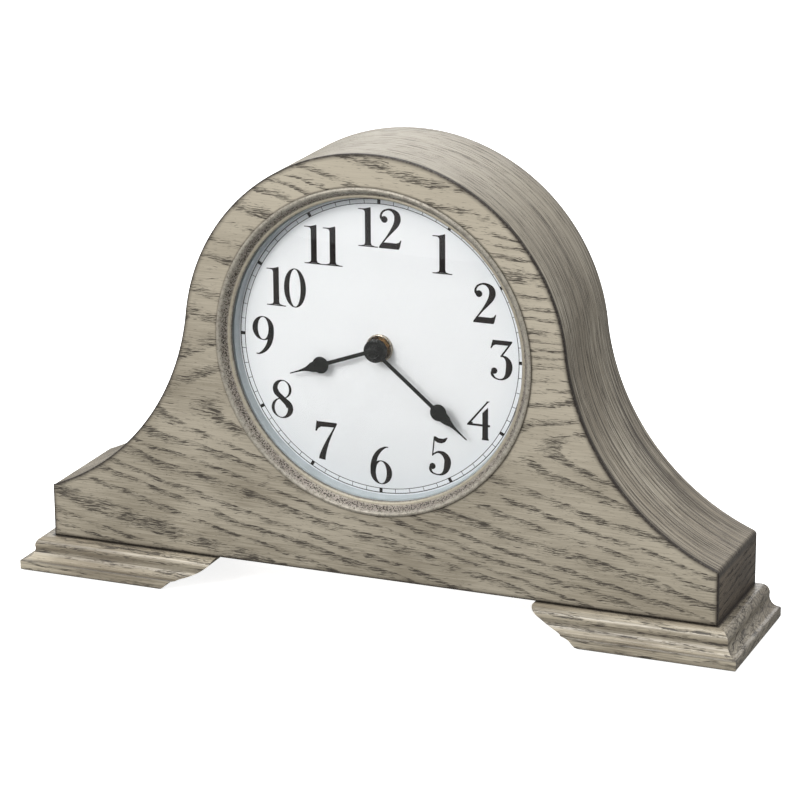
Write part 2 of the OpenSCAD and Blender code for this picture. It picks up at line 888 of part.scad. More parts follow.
module arbor_wheel(at, r, n1, m1, p1, y1, y2, n2, m2, p2, y3, y4, spokes, rim) {
    bar(up(at), r, mv_in - 1.1, cover_y + 1.2);
    wheel(at, n1, m1, p1, y1, y2);
    wheel(at, n2, m2, p2, y3, y4, spokes, rim);
}

module third_wheel() {
    color("ivory") on_face()
        arbor_wheel(third_at, 0.7, 10, 0.4, third_p, 21.8, 24.3, 75, 0.36, third_p,
            24.2, 25.0, 5, 2.8);
}

module seconds_wheel() {
    color("ivory") on_face()
        arbor_wheel(second_at, 0.6, 10, 0.36, second_p, 23.9, 26.0, 60, 0.36, second_p,
            25.9, 26.7, 5, 2.2);
}

module intermediate_wheel() {
    color("ivory") on_face()
        arbor_wheel(inter_at, 0.6, 10, 0.36, inter_p, 25.6, 27.5, 60, 0.30, inter_p,
            27.4, 28.1, 5, 1.8);
}

module rotor() {
    color("darkslategray") on_face() {
        bar(up(rotor_at), 0.5, mv_in - 1.1, cover_y + 1.2);
        wheel(rotor_at, 12, 0.3, rotor_p, 27.0, 28.5);
        bar(up(rotor_at), 2.9, 28.8, 31.2);
        bar(up(rotor_at), 1.2, 28.4, 28.9);
    }
}

module setting_knob() {
    y = cover_y + cover_t + 0.6;
    color("black") on_face() {
        bar(up(setting_at), 1.5, 19.6, y + 1);
        wheel(setting_at, 12, 0.5, setting_p, 20.0, 21.3);
        difference() {
            bar(up(setting_at), 5.0, y, y + 4.6);
            for (i = [0 : 23])
                bar(up(setting_at) + 5.3 * [cos(15 * i), sin(15 * i)], 0.45, y - 1, y + 6, $fn = 16);
            bar(up(setting_at), 3.2, y + 3.8, y + 6);
        }
    }
}

// ---------------------------------------------------------------- door

door_gap = 1.0;
door_t = 5;
door_y = back_y + 0.5;
hinge_x = -door_hw - 0.2;
hinge_y = back_y + back_t + 1.7;
hinge_z = [-38, 28];
hinge_r = 1.6;

module access_door() {
    color("peru") on_face() difference() {
        slab(door_y, door_y + door_t)
            round_rect(-door_hw + door_gap, dz - door_low + door_gap,
                door_hw - door_gap, dz + door_high - door_gap, 5);
        for (i = [-2 : 2])
            block([-16, door_y - 1, dz + 22 + 5 * i], [16, door_y + door_t + 1, dz + 24.4 + 5 * i]);
        bar([50, dz - 5], 1.5, door_y - 1, door_y + door_t + 1);
    }
}

module door_knob() {
    y = door_y + door_t;
    color("goldenrod") on_face() {
        turned([50, dz - 5]) polygon([
            [0, y - door_t], [1.5, y - door_t], [1.5, y], [2.6, y], [2.6, y + 0.6],
            [1.7, y + 1.2], [2.2, y + 2.2], [3.8, y + 2.8], [4.2, y + 3.8], [3.4, y + 4.7],
            [0, y + 5.0]
        ]);
    }
}

module door_strike() {
    color("silver") on_face()
        block([door_hw - 7, door_y - 0.6, dz - 24], [door_hw - 2, door_y, dz - 12]);
}

module door_magnet() {
    color("saddlebrown") on_face() difference() {
        block([door_hw - 7, back_y - 7, dz - 26], [door_hw + 9, back_y - 0.2, dz - 10]);
        block([door_hw - 8, back_y - 2.2, dz - 27], [door_hw + 0, back_y + 1, dz - 9]);
    }
    color("saddlebrown") on_face()
        block([door_hw - 6, back_y - 2.3, dz - 23], [door_hw - 3, back_y - 0.2, dz - 13]);
    color("saddlebrown") on_face()
        block([door_hw + 1, back_y - 0.3, dz - 26], [door_hw + 9, back_y, dz - 10]);
}

module hinge_leaves(s) {
    y = back_y + back_t;
    for (z = hinge_z) translate([hinge_x, 0, dz + z]) difference() {
        union() {
            if (s < 0) {
                block([-9.5, y, -9], [-0.5, y + 1, 9]);
                for (k = [-9, 3])
                    translate([0, hinge_y, k]) cylinder(r = hinge_r, h = 6, $fn = 32);
            } else {
                block([2.4, y - 0.5, -9], [9.5, y + 0.5, 9]);
                block([0.6, y + 0.15, -2.8], [3.4, y + 1.3, 2.8]);
                translate([0, hinge_y, -2.8]) cylinder(r = hinge_r, h = 5.6, $fn = 32);
            }
        }
        translate([0, hinge_y, -10]) cylinder(r = s < 0 ? 0.8 : 0.86, h = 20, $fn = 32);
        if (s < 0)
            translate([0, hinge_y, -3]) cylinder(r = 1.95, h = 6, $fn = 32);
    }
}

module hinge_case_leaves() {
    color("goldenrod") on_face() hinge_leaves(-1);
}

module hinge_door_leaves() {
    color("goldenrod") on_face() hinge_leaves(1);
}

module hinge_pins() {
    color("goldenrod") on_face() for (z = hinge_z)
        translate([hinge_x, hinge_y, dz + z - 9.6]) cylinder(r = 0.8, h = 19.2, $fn = 32);
}

// ---------------------------------------------------------------- nodes

face_panel();
front_board();
case_wrap();
left_end();
right_end();
bottom_board();
corner_blocks();
back_panel();
back_screws();
left_foot();
right_foot();
foot_screws();
foot_pads();
bezel();
crystal();
dial_spacer();
dial();
mounting_board();
mounting_screws();
movement_housing();
movement_cover();
movement_screws();
centre_bush();
centre_nut();
stator();
coil_bobbin();
coil_winding();
circuit_board();
driver_chip();
quartz_can();
switch_bodies();
contact_plus();
contact_minus();
battery_can();
battery_sleeve();
speaker_frame();
speaker_cone();
speaker_magnet();
speaker_screws();
speaker_leads();
centre_arbor();
minute_hand();
hand_cap();
hour_wheel();
hour_hand();
motion_wheel();
third_wheel();
seconds_wheel();
intermediate_wheel();
rotor();
setting_knob();
volume_slider();
chime_slider();
access_door();
door_knob();
door_strike();
door_magnet();
hinge_case_leaves();
hinge_door_leaves();
hinge_pins();
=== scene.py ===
import bpy, bmesh, json, math
from mathutils import Vector, Matrix
from mathutils.geometry import delaunay_2d_cdt


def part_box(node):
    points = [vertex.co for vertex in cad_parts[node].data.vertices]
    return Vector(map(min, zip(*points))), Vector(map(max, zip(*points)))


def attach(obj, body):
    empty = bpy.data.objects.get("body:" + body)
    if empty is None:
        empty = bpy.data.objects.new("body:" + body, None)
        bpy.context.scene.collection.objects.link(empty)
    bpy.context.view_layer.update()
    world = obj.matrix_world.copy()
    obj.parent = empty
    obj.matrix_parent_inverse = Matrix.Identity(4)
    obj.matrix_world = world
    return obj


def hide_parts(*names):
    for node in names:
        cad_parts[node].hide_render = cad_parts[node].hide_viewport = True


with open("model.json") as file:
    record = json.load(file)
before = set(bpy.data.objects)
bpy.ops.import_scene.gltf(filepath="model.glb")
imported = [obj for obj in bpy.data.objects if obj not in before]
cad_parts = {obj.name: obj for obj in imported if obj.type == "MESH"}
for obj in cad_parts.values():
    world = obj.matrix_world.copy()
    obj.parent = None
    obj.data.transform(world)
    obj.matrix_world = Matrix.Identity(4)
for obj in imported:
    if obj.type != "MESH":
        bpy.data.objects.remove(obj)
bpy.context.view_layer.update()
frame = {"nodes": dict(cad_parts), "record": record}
MM = 0.001


# ---------------------------------------------------------------- places, in millimetres, from the CAD's own boxes
def box_mm(node):
    """A CAD node's lowest and highest corners in millimetres."""
    return [[c / MM for c in corner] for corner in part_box(node)]


face_low, face_high = box_mm("face_panel")
dial_low, dial_high = box_mm("dial")
FY = face_low[1]                        # wooden front face; depths below are behind it
BZ = face_low[2]                        # bottom of the case
DZ = (dial_low[2] + dial_high[2]) / 2   # dial centre
HALF_W, BACK_Y = box_mm("case_wrap")[1][:2]
ARCH_R = 102.4                          # crown of the case
COVE_R = 123.8                          # hollow shoulder
SHOULDER = 27.8                         # height of the square end
ARCH_Z = face_high[2] - ARCH_R
FACE_T = 1.2                            # thickness of the face sheet
HOLE_R = 82.6                           # hole in the face sheet
HOLE_SEG = 192
PRINT_Y, PRINT_T = 12.1, 0.035          # front of the dial, and the height of its print

# ---------------------------------------------------------------- camera
cam_data = bpy.data.cameras.new("camera")
cam_data.sensor_width = 36.0
cam_data.lens = 148.1155
cam_data.shift_x = 0.003715
cam_data.shift_y = -0.009059
cam_data.clip_end = 50.0
cam = bpy.data.objects.new("camera", cam_data)
bpy.context.scene.collection.objects.link(cam)
right = Vector((0.92544742, 0.37882618, -0.0061486)).normalized()
back = -Vector((-0.36325628, 0.88256576, -0.298534)).normalized()
up = back.cross(right).normalized()
stand = Matrix((right, up, back)).transposed().to_4x4()
stand.translation = Vector((0.60494285, -1.46198447, 0.60302267))
cam.matrix_world = stand
bpy.context.scene.camera = cam


# ---------------------------------------------------------------- mesh helpers
ON_AXIS = 1e-6      # a lathe point with a smaller radius is a tip


def piece(name, verts, faces, mat, body="case", stands_for=(), slot=None, angle=35.0, attrs=None, uv=None):
    """A mesh from points in millimetres, in the row frame, riding on a CAD body."""
    me = bpy.data.meshes.new(name)
    me.from_pydata([(x * MM, y * MM, z * MM) for x, y, z in verts], [], faces)
    me.validate()
    bm = bmesh.new()
    bm.from_mesh(me)
    bmesh.ops.recalc_face_normals(bm, faces=bm.faces)
    bm.to_mesh(me)
    bm.free()
    for key, values in (attrs or {}).items():
        a = me.attributes.new(key, "FLOAT", "POINT")
        a.data.foreach_set("value", values)
    if uv:
        layer = me.uv_layers.new(name="grain")
        for loop in me.loops:
            layer.data[loop.index].uv = uv[loop.vertex_index]
    me.shade_smooth()
    me.set_sharp_from_angle(angle=math.radians(angle))
    me.materials.append(mat)
    ob = bpy.data.objects.new(name, me)
    bpy.context.scene.collection.objects.link(ob)
    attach(ob, body)
    if stands_for:
        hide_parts(*stands_for)
    return ob


def bridge(faces, a, b, n, closed=True):
    """Quads between two rings of n points that start at a and b."""
    for i in range(n if closed else n - 1):
        j = (i + 1) % n
        faces.append((a + i, a + j, b + j, b + i))


def circle(r, y, seg):
    """seg points round the dial's axis."""
    turns = [2 * math.pi * i / seg for i in range(seg)]
    return [(r * math.cos(t), FY + y, DZ + r * math.sin(t)) for t in turns]


def lathe(name, profile, mat, seg, closed=True, **kw):
    """(radius, depth) points turned about the dial's axis; closed joins the last point to the first."""
    verts, faces, starts = [], [], []
    for r, y in profile:
        starts.append(len(verts))
        verts += circle(r, y, seg) if r > ON_AXIS else [(0.0, FY + y, DZ)]
    n = len(profile)
    for k in range(n if closed else n - 1):
        j = (k + 1) % n
        tip_k, tip_j = profile[k][0] <= ON_AXIS, profile[j][0] <= ON_AXIS
        if tip_k and tip_j:
            continue
        if tip_k:
            faces += [(starts[k], starts[j] + i, starts[j] + (i + 1) % seg) for i in range(seg)]
        elif tip_j:
            faces += [(starts[j], starts[k] + (i + 1) % seg, starts[k] + i) for i in range(seg)]
        else:
            bridge(faces, starts[k], starts[j], seg)
    return piece(name, verts, faces, mat, **kw)


def smooth_line(pts, per):
    """Catmull-Rom samples through points of any dimension."""
    out = []
    n = len(pts)
    for i in range(n - 1):
        p0 = pts[max(i - 1, 0)]
        p1, p2 = pts[i], pts[i + 1]
        p3 = pts[min(i + 2, n - 1)]
        for k in range(per):
            t = k / per
            out.append(tuple(
                0.5 * (2 * b + (c - a) * t + (2 * a - 5 * b + 4 * c - d) * t * t
                       + (3 * b - a - 3 * c + d) * t ** 3)
                for a, b, c, d in zip(p0, p1, p2, p3)))
    out.append(tuple(pts[-1]))
    return out


# ---------------------------------------------------------------- case outline
end_z = SHOULDER - (ARCH_Z - BZ)
end_d = math.hypot(HALF_W, end_z)
reach = ARCH_R + COVE_R
along = (reach ** 2 - COVE_R ** 2 + end_d ** 2) / (2 * end_d)
aside = math.sqrt(reach ** 2 - along ** 2)
COVE_X = (along * HALF_W - aside * end_z) / end_d
COVE_Z = ARCH_Z + (along * end_z + aside * HALF_W) / end_d
T_ARCH = math.atan2(COVE_X, COVE_Z - ARCH_Z)


def top_curve(d, x_end):
    """Right half of the top line, inset by d, from the crown to the shoulder at x_end: (x, z) points."""
    n_arch, n_cove = 96, 72
    out = []
    for i in range(n_arch):
        t = T_ARCH * i / n_arch
        out.append(((ARCH_R - d) * math.sin(t), ARCH_Z + (ARCH_R - d) * math.cos(t)))
    r = COVE_R + d
    a0 = math.atan2(ARCH_Z - COVE_Z, -COVE_X)
    a1 = math.atan2(-math.sqrt(r * r - (x_end - COVE_X) ** 2), x_end - COVE_X)
    if a0 > 0:
        a0 -= 2 * math.pi
    if a1 > 0:
        a1 -= 2 * math.pi
    for i in range(n_cove + 1):
        a = a0 + (a1 - a0) * i / n_cove
        out.append((COVE_X + r * math.cos(a), COVE_Z + r * math.sin(a)))
    return out


def outline(d):
    """The whole front outline inset by d, clockwise from the crown."""
    side_steps, base_steps = 8, 40
    half = top_curve(d, HALF_W - d)
    x, z = half[-1]
    for i in range(1, side_steps + 1):
        half.append((x, z + (BZ + d - z) * i / side_steps))
    for i in range(1, base_steps + 1):
        half.append((x * (1 - i / base_steps), BZ + d))
    return half + [(-a, b) for a, b in reversed(half[1:-1])]


def inside(ring, x, z):
    """True if a point lies within a closed ring of (x, z) points."""
    hit = False
    for (ax, az), (bx, bz) in zip(ring, ring[1:] + ring[:1]):
        if (az > z) != (bz > z) and x < ax + (z - az) / (bz - az) * (bx - ax):
            hit = not hit
    return hit


def in_case(x, z, d):
    """True if a point lies in the front outline inset by d."""
    x = abs(x)
    if x > HALF_W - d or z < BZ + d or math.hypot(x - COVE_X, z - COVE_Z) < COVE_R + d:
        return False
    touch = ARCH_Z + (COVE_Z - ARCH_Z) * ARCH_R / reach
    return z < touch or math.hypot(x, z - ARCH_Z) < ARCH_R - d


# ---------------------------------------------------------------- material helpers
class Nodes:
    """Short calls for building one material's node tree."""

    def __init__(self, name):
        self.mat = bpy.data.materials.new(name)
        self.mat.use_nodes = True
        self.tree = self.mat.node_tree
        self.shader = self.tree.nodes["Principled BSDF"]

    def new(self, kind, **props):
        n = self.tree.nodes.new(kind)
        for k, v in props.items():
            setattr(n, k, v)
        return n

    def feed(self, socket, value):
        if isinstance(value, bpy.types.NodeSocket):
            self.tree.links.new(value, socket)
        else:
            socket.default_value = value

    def math(self, op, a, b=0.0, c=None, clamp=False):
        n = self.new("ShaderNodeMath", operation=op, use_clamp=clamp)
        self.feed(n.inputs[0], a)
        self.feed(n.inputs[1], b)
        if c is not None:
            self.feed(n.inputs[2], c)
        return n.outputs[0]

    def step(self, value, a, b, lo=0.0, hi=1.0):
        """Smooth change from lo at a to hi at b."""
        n = self.new("ShaderNodeMapRange", interpolation_type="SMOOTHSTEP", clamp=True)
        for i, v in enumerate((value, a, b, lo, hi)):
            self.feed(n.inputs[i], v)
        return n.outputs[0]

    def xyz(self, vector):
        n = self.new("ShaderNodeSeparateXYZ")
        self.feed(n.inputs[0], vector)
        return n.outputs[0], n.outputs[1], n.outputs[2]

    def vec(self, x, y, z):
        n = self.new("ShaderNodeCombineXYZ")
        for i, v in enumerate((x, y, z)):
            self.feed(n.inputs[i], v)
        return n.outputs[0]

    def place(self):
        """Position in millimetres, as three sockets."""
        x, y, z = self.xyz(self.new("ShaderNodeTexCoord").outputs["Object"])
        return tuple(self.math("MULTIPLY", v, 1000.0) for v in (x, y, z))

    def noise(self, x, y, z, detail=2.0, rough=0.5):
        n = self.new("ShaderNodeTexNoise")
        self.feed(n.inputs["Vector"], self.vec(x, y, z))
        n.inputs["Scale"].default_value = 1.0
        n.inputs["Detail"].default_value = detail
        n.inputs["Roughness"].default_value = rough
        return n.outputs[0]

    def cloud(self, p, per_mm, detail=2.0, rough=0.5):
        """Noise of one scale along x, y and z."""
        x, y, z = (self.times(v, per_mm) for v in p)
        return self.noise(x, y, z, detail, rough)

    def sway(self, noise, span):
        """A noise of 0 to 1 as a shift of up to half the span either way."""
        return self.times(noise, span, -span / 2)

    def times(self, v, k, add=0.0):
        return self.math("MULTIPLY_ADD", v, k, add)

    def mix(self, fac, a, b):
        n = self.new("ShaderNodeMix", data_type="RGBA")
        self.feed(n.inputs[0], fac)
        self.feed(n.inputs[6], a)
        self.feed(n.inputs[7], b)
        return n.outputs[2]

    def attribute(self, name):
        return self.new("ShaderNodeAttribute", attribute_name=name).outputs["Fac"]

    def bump(self, height, strength, distance_mm):
        n = self.new("ShaderNodeBump")
        n.inputs["Strength"].default_value = strength
        n.inputs["Distance"].default_value = distance_mm * MM
        self.feed(n.inputs["Height"], height)
        self.feed(self.shader.inputs["Normal"], n.outputs[0])

    def finish(self, color, rough, metal=0.0, **sockets):
        """The main values, then plain numbers and colours for other sockets of the shader."""
        self.feed(self.shader.inputs["Base Color"], color)
        self.feed(self.shader.inputs["Roughness"], rough)
        self.feed(self.shader.inputs["Metallic"], metal)
        for name, value in sockets.items():
            self.shader.inputs[name.replace("_", " ")].default_value = value
        return self.mat

    def surface(self, fac, a, b):
        """Shader a where fac is 0 and b where it is 1, as the material's surface."""
        n = self.new("ShaderNodeMixShader")
        for i, v in enumerate((fac, a, b)):
            self.tree.links.new(v, n.inputs[i])
        self.tree.links.new(n.outputs[0], self.tree.nodes["Material Output"].inputs["Surface"])


def rgb(r, g, b):
    """sRGB 0..255 to a linear colour."""
    def f(c):
        c /= 255
        return c / 12.92 if c <= 0.04045 else ((c + 0.055) / 1.055) ** 2.4
    return (f(r), f(g), f(b), 1.0)


# Dark brown for glaze along edges and for painted shade on the foot.
GLAZE_AND_SHADE_BROWN = (46, 39, 33)
# The pale tone below is painted light, laid over the front's crown and right side.
PAINTED_LIGHT_PALE = (216, 206, 186)


def oak(name, along, across, depth, ring, gap, edge=None, light=(191, 182, 164), dark=(150, 141, 124),
        pore=(48, 42, 37), pore_long=9.0, pore_wide=0.52, wave=3.6, rings=1.0, fine=1.0, strand=1.4,
        streak=0.0, tint=None, pale=PAINTED_LIGHT_PALE, gloss=0.0):
    """Open-pored oak under a grey glaze.

    along, across and depth build the grain's coordinates in mm, ring builds the growth-ring distance, and gap is how
    far apart the rings lie. edge is where the wood is darkened: dark glaze on the front and the wrap, and painted
    shade in the foot's grooves and over its return. tint is where the wood pales; on the front that is painted
    light. wave is how far the rings wander, rings how strongly they show, and fine and strand how strong and how
    close the fibres are.
    """
    k = Nodes(name)
    p = k.place()
    a, c, d = along(k, p), across(k, p), depth(k, p)
    # growth rings: bent, curled and unevenly spaced
    bend = k.noise(k.times(a, 0.016), k.times(c, 0.035), k.times(d, 0.035))
    curl = k.noise(k.times(a, 0.055), k.times(c, 0.07, 31.0), k.times(d, 0.07))
    r = k.math("ADD", ring(k, p, a, c), k.sway(bend, 2.6 * wave))
    r = k.math("ADD", r, k.sway(curl, 0.9 * wave))
    drift = k.noise(k.times(r, 0.45 / gap), 3.7, 1.3, 1.0)
    r = k.math("ADD", r, k.sway(drift, 2.2 * gap))
    phase = k.math("FRACT", k.times(r, 1.0 / gap, 40.0))
    band = k.math("MULTIPLY", k.step(phase, 0.0, 0.12), k.step(phase, 0.72, 0.24))
    patch = k.noise(k.times(a, 0.045), k.times(c, 0.09, 7.0), k.times(d, 0.09))
    band = k.math("MULTIPLY", band, k.step(patch, 0.32, 0.54, 0.3, 1.0))
    # long and short pores, closer together in the bands
    wander = k.noise(k.times(a, 0.10), k.times(c, 0.16, 3.0), k.times(d, 0.16), 1.0)
    cs = k.math("ADD", c, k.sway(wander, 2.4))
    per_long, per_wide = 1.0 / pore_long, 1.0 / pore_wide
    long = k.noise(k.times(a, per_long), k.times(cs, per_wide), k.times(d, per_wide), 2.0, 0.55)
    short = k.noise(k.times(a, 2.3 * per_long, 9.0), k.times(cs, 1.9 * per_wide), k.times(d, 1.9 * per_wide), 1.0)
    cut = k.times(band, -0.16 * rings, 0.665)
    long_pores = k.step(k.math("SUBTRACT", long, cut), 0.0, 0.05)
    short_pores = k.step(k.math("SUBTRACT", short, k.times(cut, 1.0, 0.035)), 0.0, 0.05, 0.0, 0.75)
    pores = k.math("MAXIMUM", long_pores, short_pores)
    # the colour of the wood between the pores
    strands = k.noise(k.times(a, 0.05), k.times(c, strand), k.times(d, strand), 3.0, 0.6)
    mottle = k.noise(k.times(a, 0.012, 5.0), k.times(c, 0.03), k.times(d, 0.03))
    tone = k.math("ADD", k.times(strands, 0.85 * fine), k.times(mottle, 0.9, -0.38))
    base = k.mix(k.step(tone, 0.26, 0.74), rgb(*light), rgb(*dark))
    base = k.mix(k.math("MULTIPLY", band, 0.12), base, rgb(*(v * 0.72 for v in dark)))
    # on the front, the pale tint is painted light
    paled = 0.0
    if tint is not None:
        paled = tint(k, p)
        base = k.mix(paled, base, rgb(*pale))
    if streak:
        line = k.noise(k.times(a, 0.007), k.times(c, 1.25), k.times(d, 1.25), 2.0, 0.6)
        line = k.math("MULTIPLY", k.step(line, 0.485, 0.56, 0.0, streak), k.math("SUBTRACT", 1.0, paled))
        base = k.mix(line, base, rgb(*pore))
    color = k.mix(k.math("MULTIPLY", pores, 0.86, clamp=True), base, rgb(*pore))
    # dark glaze along the edges of the front and the wrap; on the foot this darkening is painted shade
    if edge is not None:
        grit = k.cloud(p, 0.8, 3.0, 0.7)
        darkening = k.math("MULTIPLY", edge(k, p), k.times(grit, 0.8, 0.6), clamp=True)
        color = k.mix(darkening, color, rgb(*GLAZE_AND_SHADE_BROWN))
    k.bump(k.math("SUBTRACT", k.times(strands, 0.12), pores), 0.55, 0.25)
    rough = k.math("ADD", k.times(pores, 0.18), k.times(strands, 0.16, 0.40 - 0.14 * gloss))
    return k.finish(color, rough, Specular_IOR_Level=0.42 + 0.25 * gloss)


def plain(name, color, rough=0.5, metal=0.0, vary=0.10, size=4.0, bump=0.0, streak=(1.0, 1.0, 1.0), **more):
    """A moulded, painted or metal finish with small changes of tone, gloss and surface.

    vary is how far the tone strays, size the width of its patches and bump the depth of its texture, both in mm, and
    streak squeezes the patches along x, y and z."""
    k = Nodes(name)
    p = k.place()
    big, tiny = [k.noise(*(k.times(v, times * squeeze / size) for v, squeeze in zip(p, streak)), 3.0, 0.6)
                 for times in (1.0, 5.0)]
    f = k.step(k.math("ADD", k.times(big, 0.6), k.times(tiny, 0.4)), 0.3, 0.7)
    a = tuple(min(1.0, c * (1 - vary)) for c in color[:3]) + (1.0,)
    b = tuple(min(1.0, c * (1 + vary)) for c in color[:3]) + (1.0,)
    if bump:
        k.bump(tiny, 0.4, bump)
    return k.finish(k.mix(f, a, b), k.times(big, 0.16, rough - 0.08), metal, **more)


# ---------------------------------------------------------------- wood
EYE_Z = DZ - 38.0       # middle of the cathedral figure on the front


def face_ring(k, p, a, c):
    """Rings that close round a long eye and lean to either side of it."""
    z = k.math("ADD", p[2], -EYE_Z)
    h = k.math("SQRT", k.math("ADD", k.math("MULTIPLY", z, z), 150.0))
    lean = k.math("MULTIPLY", a, k.step(z, 5.0, 100.0, -0.22, 0.17))
    return k.math("ADD", h, lean)


def face_painted_light(k, p):
    """Painted light: the front is painted paler towards its crown and its right side."""
    t = k.math("ADD", k.times(p[0], 0.35), k.math("ADD", p[2], -DZ))
    return k.step(t, -110.0, 110.0, 0.0, 0.62)


def flat_ring(slope):
    """Straight rings that climb by slope along the grain."""
    def ring(k, p, a, c):
        return k.math("ADD", c, k.times(a, slope))
    return ring


def stored(name):
    """A value kept on the mesh's points."""
    return lambda k, p: k.attribute(name)


def pick(i):
    """One of the object's own coordinates."""
    return lambda k, p: k.times(p[i], 1.0)


def grain_uv(i):
    """The distance along (0) or across (1) the bent wrap."""
    return lambda k, p: k.times(k.xyz(k.new("ShaderNodeUVMap", uv_map="grain").outputs[0])[i], 1000.0)


def none(k, p):
    return 0.0


def wrap_tint(k, p):
    """The wrap pales towards its crown."""
    off_crown = k.math("ABSOLUTE", k.times(grain_uv(0)(k, p), 1.0, -10.0))
    return k.step(off_crown, 150.0, 40.0, 0.0, 0.72)


def end_across(k, p):
    return k.math("SUBTRACT", p[2], k.times(p[1], 0.12))


def end_edge(k, p):
    """Darker along the front, rear, top and bottom edges of an end board."""
    front = k.step(p[1], FY + 3.2, FY + 0.6)
    rear = k.step(p[1], BACK_Y - 2.6, BACK_Y)
    low = k.step(p[2], BZ + 4.5, BZ)
    high = k.step(p[2], BZ + SHOULDER - 5.5, BZ + SHOULDER - 1.5)
    return k.math("MAXIMUM", k.math("MAXIMUM", front, rear), k.math("MAXIMUM", low, high))


M_FACE = oak("oak_face_grain", pick(0), pick(2), none, face_ring, 7.8, stored("edge"), rings=1.08, tint=face_painted_light)
M_WRAP = oak("oak_wrap_grain", grain_uv(0), grain_uv(1), none, flat_ring(0.012), 3.1, stored("edge"),
             light=(192, 184, 167), dark=(142, 133, 117), pore=(56, 49, 42), pore_long=24.0, pore_wide=0.6,
             wave=1.0, rings=0.8, fine=1.3, strand=1.1, streak=0.84, tint=wrap_tint, pale=(160, 153, 138))
# Painted shade: the end boards take the front's oak in much darker colours, for ends that face away from the lamps.
M_END = oak("oak_end_painted_shade", pick(1), end_across, none, flat_ring(0.05), 5.0, end_edge,
            light=(110, 97, 81), dark=(74, 64, 53), pore=(28, 23, 19), pore_wide=0.7, wave=3.0)


def foot_side(k, p):
    """1 on the end-facing moulding, 0 on the front one."""
    x = k.math("ABSOLUTE", p[0])
    return k.step(k.math("ADD", k.math("ADD", x, -HALF_W), k.math("ADD", p[1], -FY)), -0.05, 0.05)


def foot_along(k, p):
    """Along the front moulding, and from front to back on its return."""
    s = foot_side(k, p)
    return k.math("ADD", k.math("MULTIPLY", p[0], k.times(s, -1.0, 1.0)), k.math("MULTIPLY", p[1], s))


def foot_across(k, p):
    """Up the moulding, leaning back on its return."""
    s = foot_side(k, p)
    lean = k.math("MULTIPLY", k.math("ADD", p[1], -FY), k.times(s, -0.28))
    return k.math("ADD", p[2], lean)


def foot_depth(k, p):
    """Into the moulding, behind its front or its return."""
    s = foot_side(k, p)
    front = k.math("MULTIPLY", p[1], k.times(s, -1.0, 1.0))
    side = k.math("MULTIPLY", k.math("ABSOLUTE", p[0]), s)
    return k.math("ADD", front, side)


def foot_edge(k, p):
    """Darker lines on the moulding: painted shade along its top against the case, under the bead and at the lip, and
    a dark band along the bottom of the moulding; and painted shade over its return, with figured rings in it."""
    z = p[2]
    out = k.math("MAXIMUM", k.math("ADD", k.math("ABSOLUTE", p[0]), -HALF_W), k.math("SUBTRACT", FY, p[1]))
    # painted shade where the moulding meets the case, under its bead and at its lip, and a darker band along its
    # bottom
    crease = k.math("MULTIPLY", k.step(z, BZ - 0.9, BZ - 0.1), k.step(out, 2.6, 0.4))
    under_bead = k.math("MULTIPLY", k.step(z, BZ - 8.2, BZ - 6.2), k.step(z, BZ - 4.2, BZ - 5.6))
    lip = k.math("MULTIPLY", k.step(z, BZ - 12.2, BZ - 11.3), k.step(z, BZ - 10.6, BZ - 11.1))
    low = k.step(z, 2.4, 0.8)
    # painted shade over the return, broken by figured rings
    swirl = k.noise(k.times(p[1], 0.07), k.times(z, 0.16), 4.0, 1.0)
    ring = k.math("FRACT", k.times(k.math("ADD", k.times(p[1], 0.30), k.times(swirl, 16.0)), 0.62))
    side = k.math("MULTIPLY", foot_side(k, p), k.step(ring, 0.55, 0.95, 0.34, 0.80))
    upper = k.math("MAXIMUM", k.times(crease, 0.95), k.times(under_bead, 0.38))
    lower = k.math("MAXIMUM", k.times(lip, 0.6), k.times(low, 0.6))
    return k.math("MAXIMUM", k.math("MAXIMUM", upper, lower), side)


M_FOOT = oak("oak_foot_grain", foot_along, foot_across, foot_depth, flat_ring(0.03), 4.2, foot_edge,
             light=(206, 196, 175), dark=(152, 141, 122), pore=(46, 39, 33), pore_long=10.0, pore_wide=0.6,
             wave=2.6, rings=0.9, streak=0.28, gloss=1.0)


# ---------------------------------------------------------------- metal, glass and paint
def pewter():
    """Speckled grey metal, darkest in its hollow and brightest on its inner lip."""
    k = Nodes("antique_pewter")
    p = k.place()
    speck = k.cloud(p, 1.25, 4.0, 0.75)
    mid = k.cloud(p, 0.5, 3.0, 0.6)
    wide = k.cloud(p, 0.05)
    hollow = k.attribute("hollow")
    base = k.mix(k.step(wide, 0.35, 0.65), rgb(168, 159, 150), rgb(180, 172, 160))
    base = k.mix(hollow, rgb(186, 180, 167), base)
    base = k.mix(k.step(mid, 0.42, 0.66, 0.0, 0.5), base, rgb(124, 115, 104))
    cut = k.times(hollow, -0.075, 0.565)
    dots = k.step(k.math("SUBTRACT", speck, cut), 0.0, 0.05)
    color = k.mix(k.math("MULTIPLY", dots, k.times(hollow, 0.40, 0.58), clamp=True), base, rgb(50, 44, 38))
    color = k.mix(k.math("MULTIPLY", k.attribute("lip"), 0.7), color, rgb(196, 187, 166))
    color = k.mix(k.attribute("joint"), color, rgb(48, 44, 40))
    k.bump(k.math("ADD", speck, k.times(mid, 0.5)), 0.35, 0.25)
    return k.finish(color, k.times(speck, 0.2, 0.32), 0.35)


def glass():
    """Thin domed glass that lets lamp light through to the dial."""
    k = Nodes("clear_dome_glass")
    k.finish(rgb(251, 252, 252), k.times(k.cloud(k.place(), 0.02), 0.02),
             Transmission_Weight=1.0, IOR=1.45, Specular_IOR_Level=0.07)
    shadow = k.new("ShaderNodeLightPath").outputs["Is Shadow Ray"]
    k.surface(shadow, k.shader.outputs[0], k.new("ShaderNodeBsdfTransparent").outputs[0])
    return k.mat


